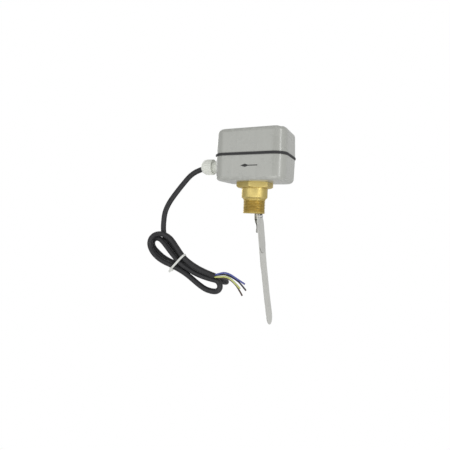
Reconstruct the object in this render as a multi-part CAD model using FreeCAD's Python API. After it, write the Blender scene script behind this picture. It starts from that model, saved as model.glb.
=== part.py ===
import FreeCAD, Part
import math
import os

# Paddle flow switch, in millimetres, +Z up.
# The origin is the centre of the top of the pipe thread, on its axis.
# X runs along the long side of the housing, flow goes towards -X, and the cable gland is on -X.

os.makedirs("parts", exist_ok=True)
V = FreeCAD.Vector
X_AXIS = V(1, 0, 0)
Y_AXIS = V(0, 1, 0)
Z_AXIS = V(0, 0, 1)

# Fits
running = 0.05
clearance = 0.3

# Housing
box_length = 107.6
box_width = 79.2
corner_radius = 18.9
edge_radius = 6.6
base_height = 35.6
cover_height = 35.8
base_draft = 0.024
cover_draft = 0.041
wall = 3.2
floor_thickness = 3.5
gasket_thickness = 3.4
gasket_proud = 1.0
gasket_inner = 5.0
column_radius = 5.5
column_inset = 11.3
cover_screw_radius = 2.5
cover_screw_head_radius = 4.4
cover_screw_head_height = 3.2
counterbore_depth = 5.0
cover_screw_grip = 14.0
arrow_length = 25.5
arrow_head_length = 7.0
arrow_barb_length = 4.5
arrow_head_width = 4.6
arrow_shaft_width = 1.3
arrow_depth = 0.5
arrow_centre_x = 3.6
arrow_drop = 15.0

# Brass body
thread_radius = 16.6
thread_length = 21.6
thread_chamfer = 1.2
round_radius = 19.5
round_height = 16.5
round_chamfer = 2.5
hex_flats = 48.5
hex_height = 8.5
hex_chamfer = 2.0
bore_radius = 14.0
neck_radius = 15.0
neck_bore = 9.5
bore_roof_drop = 2.5
seal_inner = 21.8
seal_outer = 23.4
seal_groove = 1.0

# Lever and its pin
pivot_rise = 4.5
rest_tilt = 7.0
pin_radius = 1.5
pin_length = 17.0
clip_radius = 2.3
clip_thickness = 0.8
head_width = 9.0
head_below = 6.0
head_above = 6.0
rod_radius = 3.0
tang_top = 42.0
tang_bottom = 63.0
tang_thickness = 4.0
tang_width = 12.0
arm_height = 44.0
arm_thickness = 2.0
arm_x = 2.5
striker_height = 39.0
striker_reach = 8.0
striker_back = 2.0
striker_radius = 1.5
tail_reach = 27.0
tail_thickness = 2.0
lever_screw_radius = 2.0
lever_screw_head_radius = 3.5
lever_screw_head_height = 2.4
lever_screw_length = 5.8

# Bellows
bellows_length = 18.0
bellows_folds = 7
bellows_crest = 7.6
bellows_root = 6.0
bellows_wall = 0.4
cap_thickness = 1.6
collar_height = 1.4

# Paddles
sheet_thickness = 0.5
paddle_width = 27.0
paddle_neck = 16.0
paddle_top = 44.0
shoulder_top = 54.0
shoulder_bottom = 68.0
short_paddle = 29.0
medium_paddle = 60.0
long_paddle = 90.0
longest_paddle = 166.0
long_bend_deg = 2.6
short_flare = 4.0
clamp_thickness = 1.0
clamp_width = 12.0
paddle_screw_radius = 1.5
paddle_screw_head_radius = 2.8
paddle_screw_head_height = 1.6
paddle_screw_drops = (47.5, 58.5)
washer_thickness = 0.5
nut_flats = 5.5
nut_height = 2.0

# Bracket
plate_thickness = 2.0
plate_gap = 3.0
plate_x1 = 33.0
plate_half_width = 17.4
sheet_wall = 1.5
ear_gap = 5.15
ear_half_length = 5.0
ear_top = 5.0
rear_wall_height = 45.5
body_screw_offset = 13.6
body_screw_radius = 2.0
body_screw_head_radius = 3.6
body_screw_head_height = 2.6
body_screw_length = 9.5

# Range adjuster
range_x = -20.0
range_screw_radius = 2.5
range_screw_length = 21.0
shelf_thickness = 2.0
shelf_half = 8.0
knob_radius = 5.0
knob_height = 5.0
slot_width = 1.2
slot_depth = 2.0
range_nut_drop = 10.0
range_nut_height = 4.0
range_nut_half = 6.0
spring_wire = 0.6
spring_radius = 4.3
spring_turns = 5

# Switch
switch_face_x = 10.4
switch_depth = 15.9
switch_height = 27.8
switch_thickness = 10.3
switch_rise = 12.0
switch_hole_radius = 1.55
switch_hole_margin = 2.8
switch_hole_x = 10.5
leaf_hinge_gap = 1.4
leaf_hinge_rise = 4.5
leaf_length = 30.5
leaf_thickness = 0.4
leaf_width = 5.0
leaf_roll = 0.95
leaf_pin = 0.5
lug_gap = 2.8
lug_thickness = 1.4
button_rise = 11.5
button_gap = 0.15
button_radius = 1.3
button_socket = 6.0
tab_length = 7.0
tab_width = 4.8
tab_thickness = 0.8
tab_places = (5.0, 13.9, 22.8)

# Terminal block and earth point
block_x0 = -24.0
block_length = 48.0
block_gap = 2.2
block_height = 15.0
block_inset = 6.0
poles = 4
barrier = 1.6
barrier_drop = 5.0
terminal_plate_length = 8.0
terminal_plate_inset = 1.5
terminal_plate_thickness = 0.8
terminal_screw_radius = 2.6
terminal_screw_height = 1.8
terminal_slot_width = 0.8
terminal_slot_depth = 0.8
earth_beside_column_x = 4.5
earth_beside_column_y = 8.8
earth_boss_radius = 5.0
earth_boss_height = 4.0
earth_head_radius = 4.0
earth_head_height = 2.6

# Cable gland
gland_drop = 11.0
gland_thread_radius = 9.3
gland_bore = 6.2
gland_gasket_thickness = 1.6
gland_gasket_radius = 10.7
gland_hex_flats = 22.0
gland_hex_length = 7.6
gland_thread_shown = 7.0
gland_nut_length = 19.9
dome_radius = 12.2
dome_mouth = 5.9
dome_rib_count = 18
dome_rib_depth = 0.5
locknut_flats = 21.4
locknut_length = 5.0
gland_inner_length = 8.0
seal_length = 12.0
sheath_shown = 3.0

# Cable, its hank and its cores
cable_radius = 4.25
core_radius = 1.25
hank_y = -28.5
hank_depth = 21.0
hank_rear_depth = 13.5
hank_rear_start = (-100.0, -112.0)
hank_rear_full_x = -58.0
sheath_end_x = -42.0
waist_high = (-101.0, -92.0)
waist_low = (-119.5, -111.5)
waist_bulge = 2.2
tie_width = 3.4
tie_thickness = 1.2
tie_head = 5.5
tie_tail = 9.0
inner_wire_radius = 0.9

# Places worked out from the sizes above
base_bottom_z = round_height + hex_height
joint_z = base_bottom_z + base_height
cover_bottom_z = joint_z + gasket_thickness
cover_top_z = cover_bottom_z + cover_height
floor_z = base_bottom_z + floor_thickness
plate_top_z = floor_z + plate_thickness
column_x = box_length / 2 - column_inset
column_y = box_width / 2 - column_inset
arrow_z = joint_z - arrow_drop
bore_roof_z = round_height - bore_roof_drop
bellows_top_z = bore_roof_z - collar_height
pivot_z = floor_z + pivot_rise
thread_end_drop = pivot_z + thread_length
tail_top = pivot_z + head_above
rear_wall_top = floor_z + rear_wall_height
range_screw_bottom = rear_wall_top - range_screw_length
nut_top_z = rear_wall_top - range_nut_drop
block_front_y = -box_width / 2 + block_inset
block_depth = -plate_half_width - block_gap - block_front_y
terminal_seat_z = floor_z + block_height - barrier_drop
terminal_plate_top = terminal_seat_z + terminal_plate_thickness
earth_x = -column_x + earth_beside_column_x
earth_y = column_y - earth_beside_column_y
plate_x0 = earth_x + earth_boss_radius + plate_gap
gland_z = joint_z - gland_drop
wall_x = -(box_length / 2 - base_draft * gland_drop)
hex_start_x = wall_x - gland_gasket_thickness
hex_end_x = hex_start_x - gland_hex_length
nut_start_x = hex_end_x - gland_thread_shown
nut_end_x = nut_start_x - gland_nut_length
gland_inner_x = wall_x + wall + gland_inner_length
sheath_inner_x = gland_inner_x + sheath_shown
locknut_x = wall_x + wall - clearance
switch_bottom_z = floor_z + switch_rise
switch_hole_spacing = switch_height - 2 * switch_hole_margin
leaf_hinge_x = switch_face_x - leaf_hinge_gap
leaf_hinge_z = switch_bottom_z + leaf_hinge_rise
button_z = switch_bottom_z + button_rise

# The leaf leans on the striker's tip, and the button stands just behind the leaf
tilt = math.radians(rest_tilt)
strike_x = striker_reach * math.cos(tilt) - striker_height * math.sin(tilt)
strike_z = pivot_z + striker_reach * math.sin(tilt) + striker_height * math.cos(tilt)
leaf_back = leaf_hinge_x - strike_x - leaf_thickness / 2 - clearance
leaf_lean = math.atan(leaf_back / (strike_z - leaf_hinge_z))
button_low = button_z - button_radius - leaf_hinge_z
button_rest_x = leaf_hinge_x - button_low * math.tan(leaf_lean) + leaf_thickness / 2 + button_gap


def box(x0, x1, y0, y1, z0, z1):
    return Part.makeBox(x1 - x0, y1 - y0, z1 - z0, V(x0, y0, z0))


def rod(radius, start, end):
    axis = end - start
    return Part.makeCylinder(radius, axis.Length, start, axis)


def hexagon(flats, height, start, axis, turn=0.0):
    """Six-sided prism, its size given across the flats."""
    reach = flats / math.sqrt(3)
    points = []
    for i in range(7):
        a = math.radians(60 * i + turn)
        points.append(V(reach * math.cos(a), reach * math.sin(a), 0))
    prism = Part.Face(Part.makePolygon(points)).extrude(V(0, 0, height))
    prism.Placement = FreeCAD.Placement(start, FreeCAD.Rotation(Z_AXIS, axis))
    return prism


def revolve(points, start, axis):
    """Turned piece from (radius, height) points, its axis from start along axis."""
    profile = [V(r, 0, h) for r, h in points]
    face = Part.Face(Part.makePolygon(profile + [profile[0]]))
    piece = face.revolve(V(0, 0, 0), Z_AXIS, 360)
    piece.Placement = FreeCAD.Placement(start, FreeCAD.Rotation(Z_AXIS, axis))
    return piece


def rounded_rectangle(length, width, radius, z):
    """Closed outline of a rectangle with round corners, at height z."""
    x = length / 2
    y = width / 2
    k = radius * (1 - math.sqrt(0.5))
    corners = ((1, 1), (-1, 1), (-1, -1), (1, -1))
    arcs = []
    for sx, sy in corners:
        a = V(sx * x, sy * (y - radius), z)
        m = V(sx * (x - k), sy * (y - k), z)
        b = V(sx * (x - radius), sy * y, z)
        ends = (a, m, b) if sx * sy > 0 else (b, m, a)
        arcs.append(ends)
    edges = []
    for i, ends in enumerate(arcs):
        edges.append(Part.Arc(*ends).toShape())
        following = arcs[(i + 1) % 4]
        edges.append(Part.LineSegment(ends[2], following[0]).toShape())
    return Part.Wire(edges)


def drafted_shell_form(z_wide, z_narrow, draft, inset):
    """Solid box form with round corners that narrows away from the joint plane."""
    fall = draft * abs(z_wide - z_narrow)
    wide = rounded_rectangle(
        box_length - 2 * inset, box_width - 2 * inset, corner_radius - inset, z_wide)
    narrow = rounded_rectangle(
        box_length - 2 * inset - 2 * fall, box_width - 2 * inset - 2 * fall,
        corner_radius - inset - fall, z_narrow)
    return Part.makeLoft([wide, narrow], True, True)


def edges_at(shape, z):
    """Edges of a shape that lie wholly at height z."""
    found = []
    for edge in shape.Edges:
        box_of_edge = edge.BoundBox
        if abs(box_of_edge.ZMin - z) < 0.01 and abs(box_of_edge.ZMax - z) < 0.01:
            found.append(edge)
    return found


def corners():
    for sx in (-1, 1):
        for sy in (-1, 1):
            yield sx, sy


def tangent_path(points):
    """Straight runs joined by arcs as large as their runs allow, with the arcs' radii."""
    edges = []
    radii = []
    last = points[0]
    for before, corner, after in zip(points, points[1:], points[2:]):
        u = (before - corner).normalize()
        w = (after - corner).normalize()
        half = (math.pi - u.getAngle(w)) / 2
        short = min((before - corner).Length, (after - corner).Length)
        cut = 0.45 * short
        radius = cut / math.tan(half)
        start = corner + u * cut
        end = corner + w * cut
        middle = corner + (u + w).normalize() * (radius / math.cos(half) - radius)
        edges.append(Part.LineSegment(last, start).toShape())
        edges.append(Part.Arc(start, middle, end).toShape())
        radii.append(radius)
        last = end
    edges.append(Part.LineSegment(last, points[-1]).toShape())
    return Part.Wire(edges), radii


def tube(name, points, radius):
    """Round cord along a route; prints its bends and compares its volume with its length."""
    path, radii = tangent_path(points)
    start = points[0]
    ring = Part.Wire(Part.makeCircle(radius, start, points[1] - start))
    piece = path.makePipeShell([ring], True, True)
    expected = math.pi * radius ** 2 * path.Length
    print(name, "length %.1f" % path.Length, "radii", [round(r, 1) for r in radii],
          "volume ratio %.4f" % (piece.Volume / expected))
    return piece


def closed_outline(points):
    """Closed outline through tangent arcs round a ring of points in an XZ plane."""
    count = len(points)
    edges = []
    ends = []
    for i in range(count):
        corner = points[i]
        u = (points[i - 1] - corner)
        w = (points[(i + 1) % count] - corner)
        cut = 0.45 * min(u.Length, w.Length)
        u.normalize()
        w.normalize()
        half = (math.pi - u.getAngle(w)) / 2
        radius = cut / math.tan(half)
        middle = corner + (u + w).normalize() * (radius / math.cos(half) - radius)
        ends.append((corner + u * cut, middle, corner + w * cut))
    for i in range(count):
        a, m, b = ends[i]
        edges.append(Part.Arc(a, m, b).toShape())
        edges.append(Part.LineSegment(b, ends[(i + 1) % count][0]).toShape())
    return Part.Wire(edges)


def at_rest(shape):
    """Turn a piece drawn with the lever upright to its rest tilt about the pin."""
    turned = shape.copy()
    turned.rotate(V(0, 0, pivot_z), Y_AXIS, -rest_tilt)
    return turned


# Housing


def arrow():
    """Flow arrow: a slim head swept back to a thin shaft, as one flat outline on the front face."""
    tip = arrow_centre_x - arrow_length / 2
    barb = tip + arrow_head_length
    neck = barb + arrow_barb_length
    tail = tip + arrow_length
    h = arrow_head_width / 2
    s = arrow_shaft_width / 2
    outline = [(tip, 0), (barb, h), (neck, s), (tail, s), (tail, -s), (neck, -s), (barb, -h), (tip, 0)]
    front = -box_width / 2 - 2
    points = [V(x, front, arrow_z + z) for x, z in outline]
    return Part.Face(Part.makePolygon(points)).extrude(V(0, 10, 0))


def lower_housing():
    outer = drafted_shell_form(joint_z, base_bottom_z, base_draft, 0)
    outer = outer.makeFillet(edge_radius, edges_at(outer, base_bottom_z))
    inner = drafted_shell_form(joint_z, floor_z, base_draft, wall)
    skin = drafted_shell_form(joint_z, base_bottom_z, base_draft, arrow_depth)
    piece = outer.cut(inner)
    columns = []
    for sx, sy in corners():
        foot = V(sx * column_x, sy * column_y, floor_z - 1)
        columns.append(rod(column_radius, foot, V(foot.x, foot.y, joint_z)))
    columns.append(rod(earth_boss_radius, V(earth_x, earth_y, floor_z - 1),
                       V(earth_x, earth_y, floor_z + earth_boss_height)))
    piece = piece.fuse([c.common(outer) for c in columns]).removeSplitter()
    for sx, sy in corners():
        top = V(sx * column_x, sy * column_y, joint_z + 1)
        piece = piece.cut(rod(cover_screw_radius, V(top.x, top.y, joint_z - cover_screw_grip), top))
    earth_top = floor_z + earth_boss_height
    piece = piece.cut(rod(body_screw_radius, V(earth_x, earth_y, earth_top - 6), V(earth_x, earth_y, earth_top + 1)))
    piece = piece.cut(rod(neck_radius + clearance, V(0, 0, base_bottom_z - 1), V(0, 0, floor_z + 1)))
    for sx, sy in corners():
        spot = V(sx * body_screw_offset, sy * body_screw_offset, base_bottom_z - 1)
        piece = piece.cut(rod(body_screw_radius + clearance, spot, spot + V(0, 0, floor_thickness + 2)))
    hole = gland_thread_radius + clearance
    piece = piece.cut(rod(hole, V(wall_x - 5, 0, gland_z), V(wall_x + wall + 5, 0, gland_z)))
    spotface = rod(gland_gasket_radius + clearance, V(wall_x - 5, 0, gland_z), V(wall_x, 0, gland_z))
    piece = piece.cut(spotface)
    seat = rod(locknut_flats / math.sqrt(3) + clearance, V(locknut_x, 0, gland_z), V(locknut_x + 6, 0, gland_z))
    piece = piece.cut(seat)
    return piece.cut(arrow().cut(skin))


def upper_cover():
    outer = drafted_shell_form(cover_bottom_z, cover_top_z, cover_draft, 0)
    outer = outer.makeFillet(edge_radius, edges_at(outer, cover_top_z))
    inner = drafted_shell_form(cover_bottom_z, cover_top_z - wall, cover_draft, wall)
    inner = inner.makeFillet(edge_radius - wall, edges_at(inner, cover_top_z - wall))
    piece = outer.cut(inner)
    columns = []
    for sx, sy in corners():
        foot = V(sx * column_x, sy * column_y, cover_bottom_z)
        columns.append(rod(column_radius, foot, V(foot.x, foot.y, cover_top_z - 1)).common(outer))
    piece = piece.fuse(columns).removeSplitter()
    seat = cover_top_z - counterbore_depth
    for sx, sy in corners():
        foot = V(sx * column_x, sy * column_y, cover_bottom_z - 1)
        top = V(foot.x, foot.y, cover_top_z + 1)
        piece = piece.cut(rod(cover_screw_radius + clearance, foot, top))
        piece = piece.cut(rod(cover_screw_head_radius + clearance, V(foot.x, foot.y, seat), top))
    return piece


def housing_gasket():
    outer = rounded_rectangle(
        box_length + 2 * gasket_proud, box_width + 2 * gasket_proud,
        corner_radius + gasket_proud, joint_z)
    inner = rounded_rectangle(
        box_length - 2 * gasket_inner, box_width - 2 * gasket_inner,
        corner_radius - gasket_inner, joint_z)
    height = V(0, 0, gasket_thickness)
    body = Part.Face(outer).extrude(height).cut(Part.Face(inner).extrude(height))
    edges = edges_at(body, joint_z) + edges_at(body, joint_z + gasket_thickness)
    longest = [e for e in edges if max(abs(e.BoundBox.XMin), abs(e.BoundBox.XMax)) > box_length / 2
               or max(abs(e.BoundBox.YMin), abs(e.BoundBox.YMax)) > box_width / 2]
    return body.makeFillet(gasket_proud * 0.8, longest)


def cover_screws():
    seat = cover_top_z - counterbore_depth
    tip = joint_z - cover_screw_grip + 1
    screws = []
    for sx, sy in corners():
        x = sx * column_x
        y = sy * column_y
        shank = rod(cover_screw_radius, V(x, y, tip), V(x, y, seat))
        top = seat + cover_screw_head_height
        head = rod(cover_screw_head_radius, V(x, y, seat), V(x, y, top))
        head = head.makeFillet(1.2, edges_at(head, top))
        for turn in (0, 90):
            slot = box(-2.6, 2.6, -slot_width / 2, slot_width / 2, top - slot_depth, top + 1)
            slot.rotate(V(0, 0, 0), Z_AXIS, turn + 20 * sx)
            slot.translate(V(x, y, 0))
            head = head.cut(slot)
        screws.append(shank.fuse(head).removeSplitter())
    return Part.makeCompound(screws)


# Brass body


def brass_body():
    thread = revolve([(0, -thread_length), (thread_radius - thread_chamfer, -thread_length),
                      (thread_radius, -thread_length + thread_chamfer), (thread_radius, 0),
                      (round_radius - round_chamfer, 0), (round_radius, round_chamfer),
                      (round_radius, round_height), (0, round_height)], V(0, 0, 0), Z_AXIS)
    flange = hexagon(hex_flats, hex_height, V(0, 0, round_height), Z_AXIS, 30)
    reach = hex_flats / math.sqrt(3)
    slope = hex_chamfer * 1.6
    cone = revolve([(0, round_height), (reach - slope, round_height), (reach + 0.5, round_height + hex_chamfer),
                    (reach + 0.5, base_bottom_z), (0, base_bottom_z)], V(0, 0, 0), Z_AXIS)
    flange = flange.common(cone)
    neck = rod(neck_radius, V(0, 0, base_bottom_z - 1), V(0, 0, floor_z))
    piece = thread.fuse([flange, neck]).removeSplitter()
    piece = piece.cut(rod(bore_radius, V(0, 0, -thread_length - 1), V(0, 0, bore_roof_z)))
    piece = piece.cut(rod(neck_bore, V(0, 0, 0), V(0, 0, floor_z + 1)))
    groove_foot = base_bottom_z - seal_groove
    groove = rod(seal_outer + clearance, V(0, 0, groove_foot), V(0, 0, base_bottom_z))
    groove = groove.cut(rod(seal_inner - clearance, V(0, 0, groove_foot), V(0, 0, base_bottom_z)))
    piece = piece.cut(groove)
    bottom = floor_z + plate_thickness - body_screw_length
    for sx, sy in corners():
        spot = V(sx * body_screw_offset, sy * body_screw_offset, bottom - 1)
        piece = piece.cut(rod(body_screw_radius, spot, V(spot.x, spot.y, base_bottom_z + 1)))
    return piece


def body_seal():
    foot = base_bottom_z - seal_groove
    outer = rod(seal_outer, V(0, 0, foot), V(0, 0, base_bottom_z))
    return outer.cut(rod(seal_inner, V(0, 0, foot), V(0, 0, base_bottom_z)))


def body_screws():
    screws = []
    bottom = plate_top_z - body_screw_length
    top = plate_top_z + body_screw_head_height
    for sx, sy in corners():
        x = sx * body_screw_offset
        y = sy * body_screw_offset
        shank = rod(body_screw_radius, V(x, y, bottom), V(x, y, plate_top_z))
        head = rod(body_screw_head_radius, V(x, y, plate_top_z), V(x, y, top))
        slot = box(-5, 5, -slot_width / 2, slot_width / 2, top - 1.2, top + 1)
        slot.rotate(V(0, 0, 0), Z_AXIS, 35)
        slot.translate(V(x, y, 0))
        screws.append(shank.fuse(head.cut(slot)).removeSplitter())
    return Part.makeCompound(screws)


# Bellows


def bellows_ring(radius, drop):
    """Circle round the bent axis of the bellows, drop below its top."""
    share = drop / bellows_length
    tilt = rest_tilt * share
    top_reach = pivot_z - bellows_top_z
    reach = top_reach + drop
    x = math.sin(math.radians(tilt)) * reach
    z = pivot_z - math.cos(math.radians(tilt)) * reach
    normal = V(-math.sin(math.radians(tilt)), 0, math.cos(math.radians(tilt)))
    return Part.Wire(Part.makeCircle(radius, V(x, 0, z), normal))


def bellows_surface(offset):
    rings = []
    steps = 2 * bellows_folds
    for i in range(steps + 1):
        radius = bellows_root if i % 2 == 0 else bellows_crest
        rings.append(bellows_ring(radius + offset, bellows_length * i / steps))
    return Part.makeLoft(rings, True, True)


def bellows():
    return bellows_surface(0).cut(bellows_surface(-bellows_wall))


def bellows_cap():
    """Ring brazed to the rod that closes the foot of the bellows."""
    top = pivot_z - (pivot_z - bellows_top_z + bellows_length)
    ring = rod(bellows_crest, V(0, 0, top - cap_thickness), V(0, 0, top))
    return at_rest(ring.cut(rod(rod_radius, V(0, 0, top - cap_thickness - 1), V(0, 0, top + 1))))


def bellows_collar():
    """Ring pressed against the roof of the bore that holds the top of the bellows."""
    ring = rod(bore_radius - clearance, V(0, 0, bellows_top_z), V(0, 0, bore_roof_z))
    return ring.cut(rod(bellows_root - bellows_wall, V(0, 0, bellows_top_z - 1), V(0, 0, bore_roof_z + 1)))


# Lever


def fulcrum_pin():
    half = pin_length / 2
    return rod(pin_radius, V(0, -half, pivot_z), V(0, half, pivot_z))


def fulcrum_clips():
    clips = []
    for side in (-1, 1):
        near = side * (ear_gap + sheet_wall)
        far = near + side * clip_thickness
        ring = rod(clip_radius, V(0, near, pivot_z), V(0, far, pivot_z))
        clips.append(ring.cut(rod(pin_radius, V(0, near - side, pivot_z), V(0, far + side, pivot_z))))
    return Part.makeCompound(clips)


def lever_rod():
    half = head_width / 2
    head = box(-half, half, -half, half, pivot_z - head_below, pivot_z + head_above)
    shaft = rod(rod_radius, V(0, 0, pivot_z - tang_top), V(0, 0, pivot_z - head_below))
    t = tang_thickness / 2
    w = tang_width / 2
    tang = box(-t, t, -w, w, pivot_z - tang_bottom, pivot_z - tang_top)
    piece = head.fuse([shaft, tang]).removeSplitter()
    foot = [e for e in piece.Edges if e.BoundBox.ZMax < pivot_z - tang_bottom + 0.1 and e.BoundBox.YLength > 1]
    piece = piece.makeChamfer(tang_thickness * 0.4, foot)
    piece = piece.cut(rod(pin_radius + running, V(0, -half - 1, pivot_z), V(0, half + 1, pivot_z)))
    for drop in paddle_screw_drops:
        piece = piece.cut(rod(paddle_screw_radius, V(-t - 1, 0, pivot_z - drop), V(t + 1, 0, pivot_z - drop)))
    top = pivot_z + head_above
    piece = piece.cut(rod(lever_screw_radius, V(0, 0, top - 4), V(0, 0, top + 1)))
    return at_rest(piece)


def swing_lever():
    """Bent plate: an arm that works the switch, and a tail that carries the range spring."""
    half = head_width / 2
    foot = pivot_z + head_above
    seat = box(-half, arm_x + arm_thickness, -half, half, foot, foot + arm_thickness)
    arm = box(arm_x, arm_x + arm_thickness, -half, half, foot, pivot_z + arm_height)
    upright = at_rest(seat.fuse(arm))
    tail = box(-tail_reach, -half, -half, half, tail_top - tail_thickness, tail_top)
    lowest = tail_top - tail_thickness
    joint = box(-half - 3, -half + 1, -half, half, lowest, tail_top)
    piece = upright.fuse([tail, joint]).cut(at_rest(box(-half - 0.02, 20, -20, 20, 0, foot)))
    piece = piece.removeSplitter()
    hole_top = foot + arm_thickness + 1
    piece = piece.cut(at_rest(rod(lever_screw_radius, V(0, 0, foot - 1), V(0, 0, hole_top))))
    h = pivot_z + striker_height
    return piece.cut(at_rest(rod(striker_radius, V(arm_x - 1, 0, h), V(arm_x + arm_thickness + 1, 0, h))))


def lever_screw():
    seat = pivot_z + head_above + arm_thickness
    shank = rod(lever_screw_radius, V(0, 0, seat - lever_screw_length), V(0, 0, seat))
    top = seat + lever_screw_head_height
    head = rod(min(lever_screw_head_radius, arm_x - clearance), V(0, 0, seat), V(0, 0, top))
    slot = box(-5, 5, -slot_width / 2, slot_width / 2, top - 1.0, top + 1)
    return at_rest(shank.fuse(head.cut(slot)).removeSplitter())


def striker_screw():
    h = pivot_z + striker_height
    body = rod(striker_radius, V(-striker_back, 0, h), V(striker_reach, 0, h))
    tip = [e for e in body.Edges if e.BoundBox.XMin > striker_reach - 0.1]
    body = body.makeFillet(striker_radius * 0.6, tip)
    slot = box(-striker_back - 1, -striker_back + 0.8, -3, 3, h - 0.3, h + 0.3)
    return at_rest(body.cut(slot))


def striker_nut():
    h = pivot_z + striker_height
    front = arm_x + arm_thickness
    nut = hexagon(nut_flats, nut_height, V(front, 0, h), X_AXIS)
    return at_rest(nut.cut(rod(striker_radius, V(front - 1, 0, h), V(front + nut_height + 1, 0, h))))


# Paddles


def paddle_outline(length):
    """Flat outline seen along X: a narrow neck, sloping shoulders and a round tip."""
    n = paddle_neck / 2
    w = paddle_width / 2
    tip = pivot_z - thread_end_drop - length
    round_z = tip + w
    top = pivot_z - paddle_top
    s0 = pivot_z - shoulder_top
    s1 = pivot_z - shoulder_bottom
    lines = [V(0, -n, top), V(0, n, top), V(0, n, s0), V(0, w, s1), V(0, w, round_z)]
    edges = [Part.LineSegment(a, b).toShape() for a, b in zip(lines, lines[1:])]
    edges.append(Part.Arc(V(0, w, round_z), V(0, 0, tip), V(0, -w, round_z)).toShape())
    back = [V(0, -w, round_z), V(0, -w, s1), V(0, -n, s0), V(0, -n, top)]
    edges += [Part.LineSegment(a, b).toShape() for a, b in zip(back, back[1:])]
    return Part.Face(Part.Wire(edges))


def screw_holes(shape, reach):
    for drop in paddle_screw_drops:
        z = pivot_z - drop
        shape = shape.cut(rod(paddle_screw_radius, V(-reach, 0, z), V(reach, 0, z)))
    return shape


def flat_paddle(length, x):
    sheet = paddle_outline(length).extrude(V(sheet_thickness, 0, 0))
    sheet.translate(V(x, 0, 0))
    return at_rest(screw_holes(sheet, 20))


def bent_sheet(points, thickness):
    """Sheet that follows (x, z) points on its near side and keeps its thickness along x."""
    near = [V(x, -40, z) for x, z in points]
    far = [V(x + thickness, -40, z) for x, z in reversed(points)]
    return Part.Face(Part.makePolygon(near + far + [near[0]])).extrude(V(0, 80, 0))


def short_paddle_sheet(x):
    """Lies on the back of the tang, closes up below it and flares out at its tip."""
    top = pivot_z - paddle_top
    tang_foot = pivot_z - tang_bottom
    tip = pivot_z - thread_end_drop - short_paddle
    knee = tang_foot - 9
    line = [(x, top), (x, tang_foot), (x + tang_thickness - 1.2, knee),
            (x + tang_thickness - 1.6, knee - 4), (x + tang_thickness - 1.6 - short_flare, tip)]
    outline = paddle_outline(short_paddle).extrude(V(60, 0, 0))
    outline.translate(V(-30, 0, 0))
    return at_rest(screw_holes(outline.common(bent_sheet(line, sheet_thickness)), 20))


def longest_paddle_sheet(x):
    """Straight beside its neighbours, then bent a little towards +X down to its tip."""
    top = pivot_z - paddle_top
    bend = pivot_z - thread_end_drop - long_paddle + 10
    tip = pivot_z - thread_end_drop - longest_paddle
    run = bend - tip
    half = math.tan(math.radians(long_bend_deg / 2)) * run / 2
    full = half + math.tan(math.radians(long_bend_deg)) * run / 2
    line = [(x, top), (x, bend), (x + half, bend - run / 2), (x + full, tip)]
    outline = paddle_outline(longest_paddle).extrude(V(80, 0, 0))
    outline.translate(V(-40, 0, 0))
    return at_rest(screw_holes(outline.common(bent_sheet(line, sheet_thickness)), 20))


def clamp_plate(x):
    w = clamp_width / 2
    top = pivot_z - paddle_top
    bottom = pivot_z - tang_bottom + 1
    plate = box(x, x + clamp_thickness, -w, w, bottom, top)
    return at_rest(screw_holes(plate, 20))


def paddle_washers(x):
    rings = []
    for drop in paddle_screw_drops:
        z = pivot_z - drop
        ring = rod(paddle_screw_head_radius, V(x, 0, z), V(x + washer_thickness, 0, z))
        rings.append(at_rest(ring.cut(rod(paddle_screw_radius, V(x - 1, 0, z), V(x + 2, 0, z)))))
    return Part.makeCompound(rings)


def paddle_screws(x, back):
    screws = []
    for drop in paddle_screw_drops:
        z = pivot_z - drop
        shank = rod(paddle_screw_radius, V(back, 0, z), V(x, 0, z))
        top = x + paddle_screw_head_height
        head = rod(paddle_screw_head_radius, V(x, 0, z), V(top, 0, z))
        slot = box(top - 0.8, top + 1, -5, 5, z - 0.35, z + 0.35)
        screws.append(at_rest(shank.fuse(head.cut(slot)).removeSplitter()))
    return Part.makeCompound(screws)


def paddle_nuts(x):
    nuts = []
    for drop in paddle_screw_drops:
        z = pivot_z - drop
        nut = hexagon(nut_flats, nut_height, V(x, 0, z), V(-1, 0, 0))
        nuts.append(at_rest(nut.cut(rod(paddle_screw_radius, V(x - 4, 0, z), V(x + 1, 0, z)))))
    return Part.makeCompound(nuts)


# Bracket


def mounting_bracket():
    """Folded steel plate: foot, two ears for the pin, a tall rear wall and a top shelf."""
    foot = box(plate_x0, plate_x1, -plate_half_width, plate_half_width, floor_z, plate_top_z)
    ear_far = ear_gap + sheet_wall
    ear = box(-ear_half_length, ear_half_length, -ear_far, -ear_gap, floor_z, pivot_z + ear_top)
    wall_plate = box(plate_x0, plate_x1, ear_gap, ear_far, floor_z, rear_wall_top)
    shelf = box(range_x - shelf_half, range_x + shelf_half, -shelf_half, ear_far,
                rear_wall_top - shelf_thickness, rear_wall_top)
    piece = foot.fuse([ear, wall_plate, shelf]).removeSplitter()
    piece = piece.cut(rod(neck_bore, V(0, 0, floor_z - 1), V(0, 0, plate_top_z + 0.01)).cut(
        box(-30, 30, ear_gap, 30, 0, 60)).cut(box(-30, 30, -30, -ear_gap, 0, 60)))
    piece = piece.cut(rod(pin_radius + running, V(0, -20, pivot_z), V(0, 20, pivot_z)))
    for sx, sy in corners():
        spot = V(sx * body_screw_offset, sy * body_screw_offset, floor_z - 1)
        piece = piece.cut(rod(body_screw_radius + clearance, spot, spot + V(0, 0, plate_thickness + 2)))
    hole = rod(range_screw_radius + running, V(range_x, 0, rear_wall_top - 5), V(range_x, 0, rear_wall_top + 1))
    piece = piece.cut(hole)
    for place in switch_screw_places():
        piece = piece.cut(rod(switch_hole_radius, V(place.x, 0, place.z), V(place.x, 20, place.z)))
    return piece


# Range adjuster


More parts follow.
